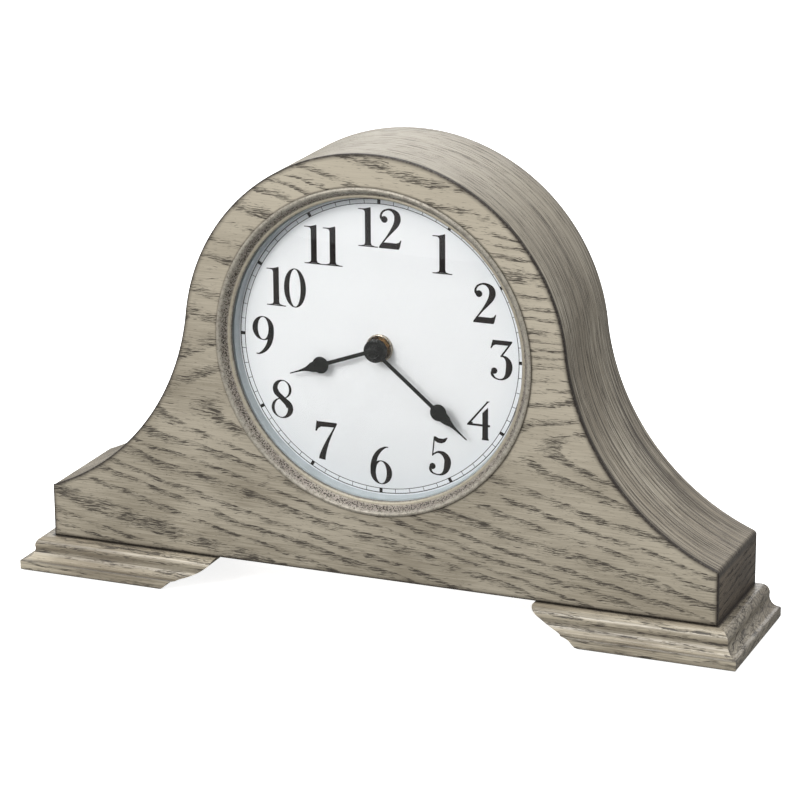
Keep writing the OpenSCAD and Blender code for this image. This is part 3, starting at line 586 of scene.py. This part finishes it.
def dial_paint():
    """White enamel with painted shade: a little greyer towards its rim and over its lower part."""
    k = Nodes("white_dial_enamel")
    p = k.place()
    x, z = p[0], p[2]
    r = k.math("SQRT", k.math("ADD", k.math("POWER", x, 2.0), k.math("POWER", k.math("ADD", z, -DZ), 2.0)))
    f = k.cloud(p, 0.5, 3.0)
    # painted shade: greyer towards the rim
    c = k.mix(k.step(r, 60.0, 79.0), rgb(236, 237, 239), rgb(228, 230, 233))
    c = k.mix(k.times(f, 0.06), c, rgb(214, 217, 221))
    # painted shade: greyer over the lower part
    c = k.mix(k.step(z, DZ - 15.0, DZ - 78.0, 0.0, 0.36), c, rgb(200, 205, 209))
    return k.finish(c, k.times(f, 0.1, 0.34))


M_PEWTER, M_GLASS, M_DIAL = pewter(), glass(), dial_paint()
M_PRINT = plain("numeral_ink", rgb(24, 16, 16), 0.6, vary=0.25, size=3.0, Specular_IOR_Level=0.08)
M_HAND = plain("hand_black_satin", rgb(9, 11, 10), 0.26, vary=0.2, size=5.0, bump=0.03, Specular_IOR_Level=0.2)
M_NICKEL = plain("worn_nickel", rgb(168, 158, 144), 0.28, 1.0, 0.25, 1.2, 0.05)

FINISH = {
    "core_board": plain("core_board_wood", rgb(176, 146, 108), 0.75, vary=0.18, size=3.0, bump=0.1,
                        streak=(0.1, 1, 1)),
    "back_ply": oak("back_stained_ply", pick(0), pick(2), pick(1), flat_ring(0.02), 9.0,
                    light=(70, 60, 50), dark=(52, 44, 37), pore=(28, 24, 20), pore_long=10.0, wave=3.0, rings=0.7),
    "hardboard": plain("hardboard_brown", rgb(104, 76, 50), 0.7, vary=0.2, size=1.5, bump=0.05),
    "felt": plain("felt_grey", rgb(60, 60, 62), 0.95, vary=0.35, size=0.6, bump=0.15, Sheen_Weight=0.4),
    "screw_steel": plain("zinc_steel", rgb(196, 194, 188), 0.34, 1.0, 0.12, 1.5, 0.03),
    "rehaut_grey": plain("spacer_grey", rgb(176, 184, 188), 0.42, vary=0.06, size=8.0),
    "brass": plain("brass_polished", rgb(206, 160, 92), 0.28, 1.0, 0.12, 2.0, 0.02),
    "nickel": M_NICKEL,
    "hand_black": M_HAND,
    "movement_black": plain("movement_plastic", rgb(34, 35, 37), 0.5, vary=0.12, size=0.8, bump=0.04),
    "movement_grey": plain("movement_cover_plastic", rgb(58, 59, 62), 0.48, vary=0.10, size=0.8, bump=0.04),
    "wheel_white": plain("acetal_white", rgb(228, 224, 210), 0.42, vary=0.04, size=3.0),
    "knob_black": plain("knob_plastic", rgb(30, 30, 31), 0.32, vary=0.15, size=2.0, bump=0.02),
    "bobbin_plastic": plain("bobbin_plastic_cream", rgb(218, 212, 192), 0.5, vary=0.05, size=3.0),
    "copper_wire": plain("copper_winding", rgb(170, 88, 40), 0.35, 0.8, 0.3, 0.5, 0.08, streak=(1, 1, 6)),
    "stator_steel": plain("stator_plate", rgb(170, 170, 172), 0.36, 1.0, 0.12, 1.2, 0.02),
    "board_green": plain("board_mask_green", rgb(34, 92, 56), 0.4, vary=0.15, size=2.0),
    "epoxy_black": plain("epoxy_drop", rgb(22, 22, 22), 0.2, vary=0.2, size=2.0),
    "spring_steel": plain("spring_nickel", rgb(200, 196, 186), 0.28, 1.0, 0.1, 1.5, 0.02),
    "cell_jacket": plain("cell_sleeve_blue", rgb(52, 66, 92), 0.28, vary=0.08, size=6.0),
    "cell_steel": plain("cell_can_steel", rgb(204, 202, 196), 0.26, 1.0, 0.08, 2.0),
    "speaker_steel": plain("speaker_black_paint", rgb(40, 40, 43), 0.45, 0.2, 0.12, 1.2, 0.03),
    "cone_paper": plain("cone_pulp", rgb(44, 43, 42), 0.85, vary=0.25, size=0.9, bump=0.08),
    "ferrite": plain("ferrite_grey", rgb(62, 62, 64), 0.55, vary=0.18, size=0.8, bump=0.05),
    "lead_red": plain("wire_red", rgb(168, 36, 30), 0.4, vary=0.08, size=4.0),
    "magnet_grey": plain("catch_brown", rgb(86, 62, 44), 0.45, vary=0.12, size=2.0, bump=0.03),
    "rotor_magnet": plain("rotor_bonded", rgb(84, 84, 87), 0.5, vary=0.15, size=0.8),
    "oak_face": M_FACE, "oak_wrap": M_END, "oak_foot": M_FOOT, "pewter": M_PEWTER,
    "clear_glass": M_GLASS, "dial_white": M_DIAL,
}
for row in frame["record"]["subparts"]:
    ob = frame["nodes"].get(row["node"])
    if ob is not None:
        ob.data.materials.clear()
        ob.data.materials.append(FINISH[row["material_slot"]])


# ---------------------------------------------------------------- case front
def build_face():
    """The face sheet, with its edge and the rim of its hole eased. Rows are inset or radius, depth and glaze."""
    rim = [(0.0, FACE_T, 1.0), (0.0, 0.85, 1.0), (0.10, 0.45, 1.0), (0.38, 0.12, 1.0), (0.85, 0.0, 0.7),
           (1.5, 0.0, 0.28), (2.6, 0.0, 0.0)]
    hole = [(85.4, 0.0, 0.0), (84.8, 0.0, 0.4), (83.4, 0.0, 1.0), (82.75, 0.12, 1.0), (HOLE_R, 0.4, 1.0),
            (HOLE_R, FACE_T, 1.0)]
    grid, clear = 8, 3      # spacing of the loose inner points, and how far they stay from the edges
    verts, faces, edge = [], [], []

    def strip(rings):
        """Joined rings of (points, glaze); gives where each one starts."""
        starts = []
        for points, darkening in rings:
            starts.append(len(verts))
            verts.extend(points)
            edge.extend([darkening] * len(points))
        for a, b in zip(starts, starts[1:]):
            bridge(faces, a, b, len(points))
        return starts

    starts = strip([([(x, FY + y, z) for x, z in outline(d)], darkening) for d, y, darkening in rim])
    hole_starts = strip([(circle(r, y, HOLE_SEG), darkening) for r, y, darkening in hole])
    n, seg = starts[1], HOLE_SEG

    def fill(outer, inner, y, d, r):
        """Triangles between an outline ring and a hole ring, on a loose grid of inner points."""
        ids = [outer + i for i in range(n)] + [inner + i for i in range(seg)]
        pts = [Vector((verts[i][0], verts[i][2])) for i in ids]
        cons = [(i, (i + 1) % n) for i in range(n)] + [(n + i, n + (i + 1) % seg) for i in range(seg)]
        for gx in range(-22 * grid, 22 * grid + 1, grid):
            for gz in range(int(BZ), int(ARCH_Z + ARCH_R), grid):
                if in_case(gx, gz, d + clear) and math.hypot(gx, gz - DZ) > r + clear:
                    pts.append(Vector((gx, gz)))
                    ids.append(len(verts))
                    verts.append((gx, FY + y, gz))
                    edge.append(0.0)
        co, _, tris, orig, _, _ = delaunay_2d_cdt(pts, cons, [], 0, 1e-5)
        back_to = [ids[o[0]] for o in orig]
        ring = [tuple(p) for p in pts[:n]]
        gap = [tuple(p) for p in pts[n:n + seg]]
        for t in tris:
            cx = sum(co[i][0] for i in t) / 3
            cz = sum(co[i][1] for i in t) / 3
            if inside(ring, cx, cz) and not inside(gap, cx, cz):
                faces.append(tuple(back_to[i] for i in t))

    fill(starts[-1], hole_starts[0], 0.0, rim[-1][0], hole[0][0])
    fill(starts[0], hole_starts[-1], FACE_T, 0.0, HOLE_R)
    return piece("face_veneer", verts, faces, M_FACE, stands_for=["face_panel"], slot="oak_face",
                 attrs={"edge": edge})


def build_wrap():
    """The bent wood over the top. Rows of the section are inset, depth and glaze."""
    section = [(0.35, FACE_T, 1.0), (0.04, 1.55, 1.0), (0.0, 2.0, 0.5), (0.0, 2.8, 0.0), (0.0, 12.0, 0.0),
               (0.0, 30.0, 0.0), (0.0, 50.0, 0.0), (0.0, 61.0, 0.12), (0.0, 63.6, 0.35), (0.12, 64.35, 0.5),
               (0.5, 64.85, 0.55), (1.1, 65.0, 0.5), (2.4, 65.0, 0.5), (2.85, 64.9, 0.5), (3.0, 64.5, 0.5),
               (3.0, 60.0, 0.5), (3.0, 30.0, 0.4), (3.0, FACE_T, 0.4)]
    ends = (0.25, 0.5, 0.7, 0.86, 0.96, 1.0)        # where the last stretch at each shoulder is divided
    soft, soft_depth, worn = 1.5, 1.2, 1.6          # radius and reach of the rounded ends, and the glaze on them
    verts, faces, edge, uv = [], [], [], []

    def refine(half):
        """A half line with its last stretch divided."""
        (ax, az), (bx, bz) = half[-2:]
        return half[:-1] + [(ax + (bx - ax) * t, az + (bz - az) * t) for t in ends]

    def top_line(d):
        """The whole top line inset by d, from the left shoulder to the right one."""
        half = refine(top_curve(d, HALF_W))
        return [(-x, z) for x, z in reversed(half[1:])] + half

    outside = top_line(0.0)
    run = [0.0]
    for a, b in zip(outside, outside[1:]):
        run.append(run[-1] + math.dist(a, b))
    n, rows = len(outside), len(section)
    for d, y, darkening in section:
        for (x, z), s in zip(top_line(d), run):
            end = min(s, run[-1] - s)
            q = max(0.0, soft - end)
            drop = (soft - math.sqrt(soft * soft - q * q)) * max(0.0, 1 - d / soft_depth)
            verts.append((x, FY + y, z - drop))
            edge.append(max(darkening, 0.8 * max(0.0, 1 - end / worn)))
            uv.append(((s - run[-1] / 2) * MM, (y + d) * MM))
    for j in range(rows):
        bridge(faces, j * n, ((j + 1) % rows) * n, n, closed=False)
    for end in (0, n - 1):
        faces.append(tuple(j * n + end for j in range(rows)))
    return piece("case_hood", verts, faces, M_WRAP, stands_for=["case_wrap"], slot="oak_wrap",
                 attrs={"edge": edge}, uv=uv)


build_face()
build_wrap()


# ---------------------------------------------------------------- bezel, glass and dial
def build_bezel():
    """The pewter ring: a roll, a speckled hollow and a light inner lip. The section is (radius, depth) points."""
    front = [(84.42, 1.15), (84.42, 0.0), (84.4, -0.55), (84.2, -0.95), (83.85, -1.22), (83.35, -1.33),
             (82.85, -1.25), (82.45, -0.95), (82.1, -0.45), (81.7, 0.3), (81.25, 1.1), (80.8, 1.85), (80.35, 2.5),
             (80.0, 2.95), (79.75, 3.2), (79.5, 3.25), (79.3, 3.15), (79.05, 3.12), (78.8, 3.2), (78.5, 3.4),
             (78.2, 3.7), (78.02, 4.05), (78.0, 5.2)]
    hidden = [(79.25, 5.36), (79.25, 11.9), (80.4, 11.9), (80.4, 7.0), (82.4, 7.0), (82.4, 1.15)]
    lip_in, lip_out, hollow_out = 78.3, 79.6, 82.6
    seg = 256

    def hollow(r):
        """1 in the hollow, falling to 0 at its two sides."""
        return max(0.0, min(1.0, (hollow_out - r) / 1.2)) * max(0.0, min(1.0, (r - lip_out) / 0.6))

    profile = front + hidden
    joint = [1.0, 1.0, 0.4] + [0.0] * (len(front) - 5) + [0.55] * (len(hidden) + 2)
    attrs = {"hollow": [], "lip": [], "joint": []}
    for i, (r, _) in enumerate(profile):
        attrs["hollow"] += [hollow(r)] * seg
        attrs["lip"] += [1.0 if lip_in < r < lip_out and i < len(front) else 0.0] * seg
        attrs["joint"] += [joint[i]] * seg
    return lathe("bezel_ring", profile, M_PEWTER, seg, attrs=attrs, stands_for=["bezel"], slot="pewter", angle=50)


def build_glass():
    """A shallow dome between two spheres with one centre."""
    centre, outer_r, inner_r, edge_r = 409.5, 411.7, 409.9, 79.05
    n = 28

    def sphere(r, x):
        return x, centre - math.sqrt(r * r - x * x)

    xs = [edge_r * math.sin(math.pi / 2 * i / n) for i in range(n + 1)]
    outer = [sphere(outer_r, x) for x in xs]
    inner = [sphere(inner_r, x) for x in reversed(xs)]
    return lathe("dome_glass", outer + inner, M_GLASS, seg=160, stands_for=["crystal"], slot="clear_glass", angle=60)


build_bezel()
build_glass()


# ---------------------------------------------------------------- print on the dial
def print_piece(name, shapes):
    """Thin raised print: each shape is (points, faces) in the dial's own right and up coordinates."""
    verts, faces = [], []
    for pts, fs in shapes:
        k = len(verts)
        n = len(pts)
        verts += [(px, FY + PRINT_Y - PRINT_T, DZ + pz) for px, pz in pts]
        verts += [(px, FY + PRINT_Y, DZ + pz) for px, pz in pts]
        count = {}
        for f in fs:
            faces.append(tuple(k + i for i in f))
            faces.append(tuple(k + n + i for i in reversed(f)))
            for a, b in zip(f, f[1:] + f[:1]):
                e = (min(a, b), max(a, b))
                count[e] = count.get(e, 0) + 1
        for (a, b), c in count.items():
            if c == 1:
                faces.append((k + a, k + b, k + n + b, k + n + a))
    return piece(name, verts, faces, M_PRINT, slot="hand_black", angle=80)


def ribbon(line, closed=False):
    """A strip of changing width along (x, y, width) points, as (points, faces)."""
    pts, fs = [], []
    n = len(line)
    for i, (x, y, w) in enumerate(line):
        a = line[i - 1] if i or closed else line[i]
        b = line[(i + 1) % n] if i < n - 1 or closed else line[i]
        dx, dy = b[0] - a[0], b[1] - a[1]
        q = math.hypot(dx, dy) or 1.0
        nx, ny = -dy / q * w / 2, dx / q * w / 2
        pts += [(x + nx, y + ny), (x - nx, y - ny)]
    for i in range(n if closed else n - 1):
        j = (i + 1) % n
        fs.append((2 * i, 2 * i + 1, 2 * j + 1, 2 * j))
    return pts, fs


def oval(cx, cy, rx, ry, ix, iy, shift=0.0):
    """A ring between two ellipses, thick at the sides."""
    n = 72
    pts, fs = [], []
    for i in range(n):
        t = 2 * math.pi * i / n
        c, s = math.cos(t), math.sin(t)
        pts += [(cx + rx * c, cy + ry * s), (cx + shift + ix * c, cy + iy * s)]
        j = (i + 1) % n
        fs.append((2 * i, 2 * i + 1, 2 * j + 1, 2 * j))
    return pts, fs


def poly(*pts):
    """One flat face."""
    return list(pts), [tuple(range(len(pts)))]


def disc(cx, cy, r):
    """A round face."""
    n = 32
    turns = [2 * math.pi * i / n for i in range(n)]
    return poly(*((cx + r * math.cos(t), cy + r * math.sin(t)) for t in turns))


def curve(*pts):
    """A smooth stroke through (x, y, width) points."""
    return ribbon(smooth_line(pts, 8))


def moved(shapes, dx):
    """The same figure further right."""
    return [([(x + dx, y) for x, y in p], f) for p, f in shapes]


def turned_half(shapes, w):
    """A figure of width w upside down."""
    return [([(w - x, 1 - y) for x, y in p], f) for p, f in shapes]


# Each figure is one high, with its left side near 0.
ONE = [
    poly((0.195, 0.03), (0.35, 0.03), (0.35, 0.97), (0.345, 1.0), (0.195, 0.955)),
    poly((0.02, 0.0), (0.53, 0.0), (0.53, 0.026), (0.02, 0.026)),
    poly((0.09, 0.026), (0.195, 0.026), (0.195, 0.10), (0.175, 0.05)),
    poly((0.35, 0.026), (0.46, 0.026), (0.37, 0.05), (0.35, 0.10)),
    poly((0.02, 0.925), (0.10, 0.925), (0.165, 0.915), (0.195, 0.87), (0.195, 0.955), (0.02, 0.948)),
]
TWO = [
    curve((0.175, 0.70, 0.05), (0.09, 0.74, 0.075), (0.065, 0.82, 0.055), (0.12, 0.92, 0.05),
          (0.24, 0.978, 0.045), (0.36, 0.965, 0.075), (0.47, 0.88, 0.145), (0.50, 0.755, 0.17),
          (0.46, 0.62, 0.145), (0.36, 0.47, 0.095), (0.23, 0.30, 0.05), (0.10, 0.13, 0.04),
          (0.02, 0.02, 0.035)),
    disc(0.155, 0.725, 0.085),
    poly((0.0, 0.0), (0.53, 0.0), (0.555, 0.05), (0.60, 0.235), (0.575, 0.235), (0.53, 0.175), (0.46, 0.152),
         (0.16, 0.152), (0.09, 0.13)),
]
THREE = [
    poly((0.075, 1.0), (0.58, 1.0), (0.58, 0.965), (0.52, 0.885), (0.16, 0.885), (0.10, 0.86), (0.045, 0.78),
         (0.02, 0.785)),
    curve((0.565, 0.985, 0.045), (0.44, 0.80, 0.045), (0.30, 0.605, 0.045)),
    curve((0.275, 0.60, 0.03), (0.36, 0.60, 0.05), (0.44, 0.55, 0.10), (0.495, 0.44, 0.155), (0.50, 0.30, 0.17),
          (0.46, 0.15, 0.13), (0.37, 0.045, 0.06), (0.26, 0.015, 0.035), (0.14, 0.045, 0.045),
          (0.07, 0.12, 0.07), (0.065, 0.20, 0.07)),
    disc(0.12, 0.225, 0.08),
]
FOUR = [
    poly((0.385, 0.0), (0.57, 0.0), (0.57, 0.03), (0.55, 0.06), (0.55, 0.845), (0.40, 0.69), (0.40, 0.06),
         (0.385, 0.03)),
    poly((0.0, 0.355), (0.05, 0.355), (0.545, 0.96), (0.60, 1.0), (0.50, 1.0), (0.505, 0.975), (0.0, 0.375)),
    poly((0.0, 0.345), (0.60, 0.345), (0.60, 0.40), (0.02, 0.40)),
    poly((0.0, 0.345), (0.12, 0.345), (0.16, 0.44), (0.06, 0.43)),
]
FIVE = [
    poly((0.155, 0.985), (0.18, 1.0), (0.28, 0.955), (0.40, 0.955), (0.50, 1.0), (0.515, 0.985), (0.45, 0.875),
         (0.36, 0.83), (0.25, 0.835), (0.18, 0.875)),
    ribbon([(0.165, 0.985, 0.035), (0.115, 0.49, 0.035)]),
    curve((0.105, 0.49, 0.03), (0.17, 0.555, 0.04), (0.28, 0.60, 0.06), (0.42, 0.555, 0.125),
          (0.505, 0.43, 0.17), (0.505, 0.28, 0.175), (0.455, 0.13, 0.125), (0.36, 0.035, 0.06),
          (0.25, 0.014, 0.035), (0.12, 0.045, 0.045), (0.06, 0.12, 0.07), (0.06, 0.20, 0.07)),
    disc(0.115, 0.22, 0.08),
]
SIX = [
    oval(0.31, 0.31, 0.29, 0.31, 0.145, 0.285),
    curve((0.49, 0.985, 0.02), (0.40, 0.965, 0.05), (0.27, 0.87, 0.095), (0.165, 0.72, 0.125),
          (0.11, 0.55, 0.145), (0.092, 0.40, 0.145), (0.095, 0.28, 0.14)),
    disc(0.485, 0.978, 0.018),
]
SEVEN = [
    poly((0.045, 1.0), (0.085, 0.985), (0.585, 0.985), (0.60, 0.965), (0.54, 0.865), (0.17, 0.85), (0.09, 0.80),
         (0.045, 0.72), (0.01, 0.73)),
    curve((0.585, 0.965, 0.035), (0.47, 0.74, 0.05), (0.36, 0.52, 0.085), (0.27, 0.30, 0.125),
          (0.205, 0.10, 0.165), (0.19, 0.0, 0.18)),
]
EIGHT = [
    oval(0.30, 0.755, 0.255, 0.245, 0.155, 0.215, 0.03),
    oval(0.30, 0.265, 0.295, 0.265, 0.18, 0.235, -0.03),
    curve((0.13, 0.74, 0.11), (0.18, 0.63, 0.13), (0.30, 0.52, 0.14), (0.42, 0.41, 0.145), (0.48, 0.30, 0.13)),
]
ZERO = [
    oval(0.31, 0.5, 0.295, 0.5, 0.15, 0.475),
]
# hour: (figure, how far above the dial's centre, how far to its right, the figure's own middle)
FIGURES = {
    1: (ONE, 51.3, 33.4, 0.275), 2: (TWO, 28.6, 55.5, 0.30), 3: (THREE, 0.4, 64.3, 0.30),
    4: (FOUR, -31.6, 52.4, 0.30), 5: (FIVE, -52.8, 31.5, 0.29), 6: (SIX, -61.4, 0.2, 0.31),
    7: (SEVEN, -52.0, -29.6, 0.31), 8: (EIGHT, -32.7, -53.7, 0.30),
    9: (turned_half(SIX, 0.62), -0.3, -63.6, 0.31), 10: (ONE + moved(ZERO, 0.47), 26.2, -50.6, 0.54),
    11: (ONE + moved(ONE, 0.50), 49.8, -30.0, 0.525), 12: (ONE + moved(TWO, 0.55), 61.4, 0.2, 0.575),
}
FIG_H = 20.3
for hour, (shapes, up_by, right_by, mid) in FIGURES.items():
    print_piece(f"numeral_{hour}", [([(right_by + (x - mid) * FIG_H, up_by + (y - 0.5) * FIG_H) for x, y in p], f)
                                    for p, f in shapes])


def minute_track():
    """Two thin rings with a stroke for each minute, heavier at the hours."""
    inner, outer, seg = 73.6, 75.9, 240
    past, fine, heavy = 0.2, 0.28, 1.7      # how far an hour stroke stands out, and the strokes' widths
    shapes = []
    for r, w in ((outer, 0.42), (inner, 0.34)):
        turns = [2 * math.pi * i / seg for i in range(seg)]
        shapes.append(ribbon([(r * math.sin(t), r * math.cos(t), w) for t in turns], True))
    for i in range(60):
        t = math.radians(6 * i)
        s, c = math.sin(t), math.cos(t)
        a, b, w = (inner, outer, fine) if i % 5 else (inner - past, outer + past, heavy)
        shapes.append(ribbon([(a * s, a * c, w), (b * s, b * c, w)]))
    print_piece("minute_track", shapes)


minute_track()


# ---------------------------------------------------------------- hands
def hand(name, body, angle, bulb, tip, y1, y2, hub_r):
    """A spade hand: stem, round spade and a long drawn-out point, with soft edges.

    angle is clockwise from 12, bulb and tip are distances from the centre, and y1 and y2 are its faces' depths."""
    r, stem, k = 4.35, 1.0, tip - bulb      # spade's radius, half the stem's width, length of the point
    thinnest = 0.03
    half = [(hub_r - 1.2, stem), (bulb - 1.5 * r, stem), (bulb - 1.06 * r, stem * 1.04)]
    for deg in range(166, 40, -6):
        a = math.radians(deg)
        half.append((bulb + r * math.cos(a), r * math.sin(a)))
    tail = smooth_line([(bulb + 0.766 * r, 0.643 * r), (bulb + 0.30 * k, 0.55 * r), (bulb + 0.38 * k, 0.40 * r),
                        (bulb + 0.47 * k, 0.265 * r), (bulb + 0.58 * k, 0.165 * r), (bulb + 0.76 * k, 0.42),
                        (tip - 0.25, 0.27), (tip, 0.08)], 6)
    half += [q for q in tail if q[0] > half[-1][0] + 0.05]
    ca, sa = math.cos(math.radians(angle)), math.sin(math.radians(angle))
    verts, faces = [], []
    n = len(half)
    e = 0.16        # width of the softened edge
    levels = [(y1, -e), (y1 + e * 0.35, -e * 0.35), (y1 + e, 0.0), (y2 - e, 0.0), (y2, -e)]
    for y, inset in levels:
        for side in (1, -1):
            for u, w in half:
                w = max(w + inset, thinnest)
                verts.append((u * sa + side * w * ca, FY + y, DZ + u * ca - side * w * sa))
    rows = len(levels)
    for j in range(rows - 1):
        a, b = j * 2 * n, (j + 1) * 2 * n
        bridge(faces, a, b, n, False)
        bridge(faces, a + n, b + n, n, False)
        faces.append((a, a + n, b + n, b))
        faces.append((a + n - 1, a + 2 * n - 1, b + 2 * n - 1, b + n - 1))
    for j in (0, rows - 1):
        a = j * 2 * n
        bridge(faces, a, a + n, n, False)
    return piece(name, verts, faces, M_HAND, body=body, slot="hand_black", angle=40)


# Depths of the hubs, cap and nut are behind the wooden front, as everywhere.
minute_hand = hand("minute_hand_spade", "minute", 129.6, 43.9, 63.2, 4.85, 5.45, 5.8)
hour_hand = hand("hour_hand_spade", "hour", 250.0, 32.6, 50.2, 7.65, 8.25, 5.5)
MINUTE_HUB = [(1.3, 5.8), (1.3, 4.3), (3.3, 4.3), (3.55, 4.42), (3.7, 4.62), (4.1, 4.62), (4.3, 4.4),
              (4.7, 4.3), (5.35, 4.32), (5.65, 4.48), (5.8, 4.75), (5.8, 5.55), (5.6, 5.8)]
minute_hub = lathe("minute_hub", MINUTE_HUB, M_HAND, seg=96, body="minute", slot="hand_black")
HOUR_HUB = [(2.32, 9.2), (2.32, 7.2), (4.9, 7.2), (5.3, 7.3), (5.5, 7.5), (5.5, 8.3), (5.3, 8.5), (4.7, 8.55),
            (4.6, 8.65), (4.6, 9.2)]
hour_hub = lathe("hour_hub", HOUR_HUB, M_HAND, seg=96, body="hour", slot="hand_black")
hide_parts("minute_hand")
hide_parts("minute_hand")
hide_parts("hour_hand")
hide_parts("hour_hand")
ARBOR_CAP = [(0.0, 1.0), (0.9, 1.03), (1.6, 1.14), (2.2, 1.36), (2.65, 1.68), (2.95, 2.1), (3.12, 2.7),
             (3.15, 3.4), (3.15, 4.2), (3.05, 4.3), (1.45, 4.3), (1.45, 2.65), (0.0, 2.6)]
lathe("arbor_cap", ARBOR_CAP, M_HAND, seg=96, closed=False, body="minute", stands_for=["hand_cap"],
      slot="hand_black")
FIXING_NUT = [(4.02, 12.1), (4.02, 11.2), (4.5, 11.0), (5.2, 10.95), (5.7, 10.75), (6.1, 10.45), (6.6, 10.38),
              (6.95, 10.55), (7.1, 10.85), (7.1, 11.7), (7.0, 12.1)]
lathe("fixing_nut", FIXING_NUT, M_NICKEL, seg=128, stands_for=["centre_nut"], slot="nickel")

# ---------------------------------------------------------------- floor and light
def build_floor():
    """A floor that looks white but throws only a little light back, as a studio's sweep does."""
    k = Nodes("studio_floor")
    x, y, _ = k.place()
    fleck = k.noise(k.times(x, 0.004), k.times(y, 0.004), 0.0)
    k.finish(k.mix(k.times(fleck, 0.03), rgb(250, 250, 250), rgb(244, 244, 244)), 0.9, Specular_IOR_Level=0.0,
             Emission_Color=(1, 1, 1, 1), Emission_Strength=0.85)
    dull = k.new("ShaderNodeBsdfDiffuse")
    dull.inputs[0].default_value = (0.30, 0.30, 0.29, 1)
    k.surface(k.new("ShaderNodeLightPath").outputs["Is Camera Ray"], dull.outputs[0], k.shader.outputs[0])
    half = 8.0
    me = bpy.data.meshes.new("floor")
    me.from_pydata([(-half, -half, 0), (half, -half, 0), (half, half, 0), (-half, half, 0)], [], [(0, 1, 2, 3)])
    me.materials.append(k.mat)
    floor = bpy.data.objects.new("floor", me)
    bpy.context.scene.collection.objects.link(floor)


def build_world():
    """Soft even light, and a plain white backdrop where the camera sees it."""
    world = bpy.data.worlds.new("studio")
    bpy.context.scene.world = world
    world.use_nodes = True
    nodes, links = world.node_tree.nodes, world.node_tree.links
    light, white = nodes["Background"], nodes.new("ShaderNodeBackground")
    for node, color, strength in ((light, (0.985, 0.99, 1.0, 1), 0.60), (white, (1, 1, 1, 1), 1.05)):
        node.inputs[0].default_value = color
        node.inputs[1].default_value = strength
    seen = nodes.new("ShaderNodeMixShader")
    links.new(nodes.new("ShaderNodeLightPath").outputs["Is Camera Ray"], seen.inputs[0])
    links.new(light.outputs[0], seen.inputs[1])
    links.new(white.outputs[0], seen.inputs[2])
    links.new(seen.outputs[0], nodes["World Output"].inputs[0])


def lamp(name, at, to, size, size_y, power, color=(1, 1, 1)):
    """A soft rectangular lamp at one place, aimed at another."""
    d = bpy.data.lights.new(name, "AREA")
    d.shape = "RECTANGLE"
    d.size, d.size_y = size, size_y
    d.energy = power
    d.color = color
    ob = bpy.data.objects.new(name, d)
    ob.location = at
    ob.rotation_euler = (Vector(to) - Vector(at)).to_track_quat("-Z", "Y").to_euler()
    bpy.context.scene.collection.objects.link(ob)


build_floor()
build_world()
lamp("key", (-0.72, -1.85, 1.32), (0, 0, 0.12), 0.8, 0.8, 23.5, (1.0, 0.99, 0.975))
lamp("top", (0.05, 0.15, 1.9), (0, 0, 0.1), 1.4, 1.1, 20.0)
lamp("side", (1.6, -0.4, 0.9), (0, 0, 0.12), 0.5, 0.8, 0.6)
lamp("rear", (-0.5, 1.8, 0.9), (0, 0, 0.12), 1.2, 1.0, 8.0)

bpy.context.scene.view_settings.view_transform = "Standard"
bpy.context.scene.view_settings.look = "None"
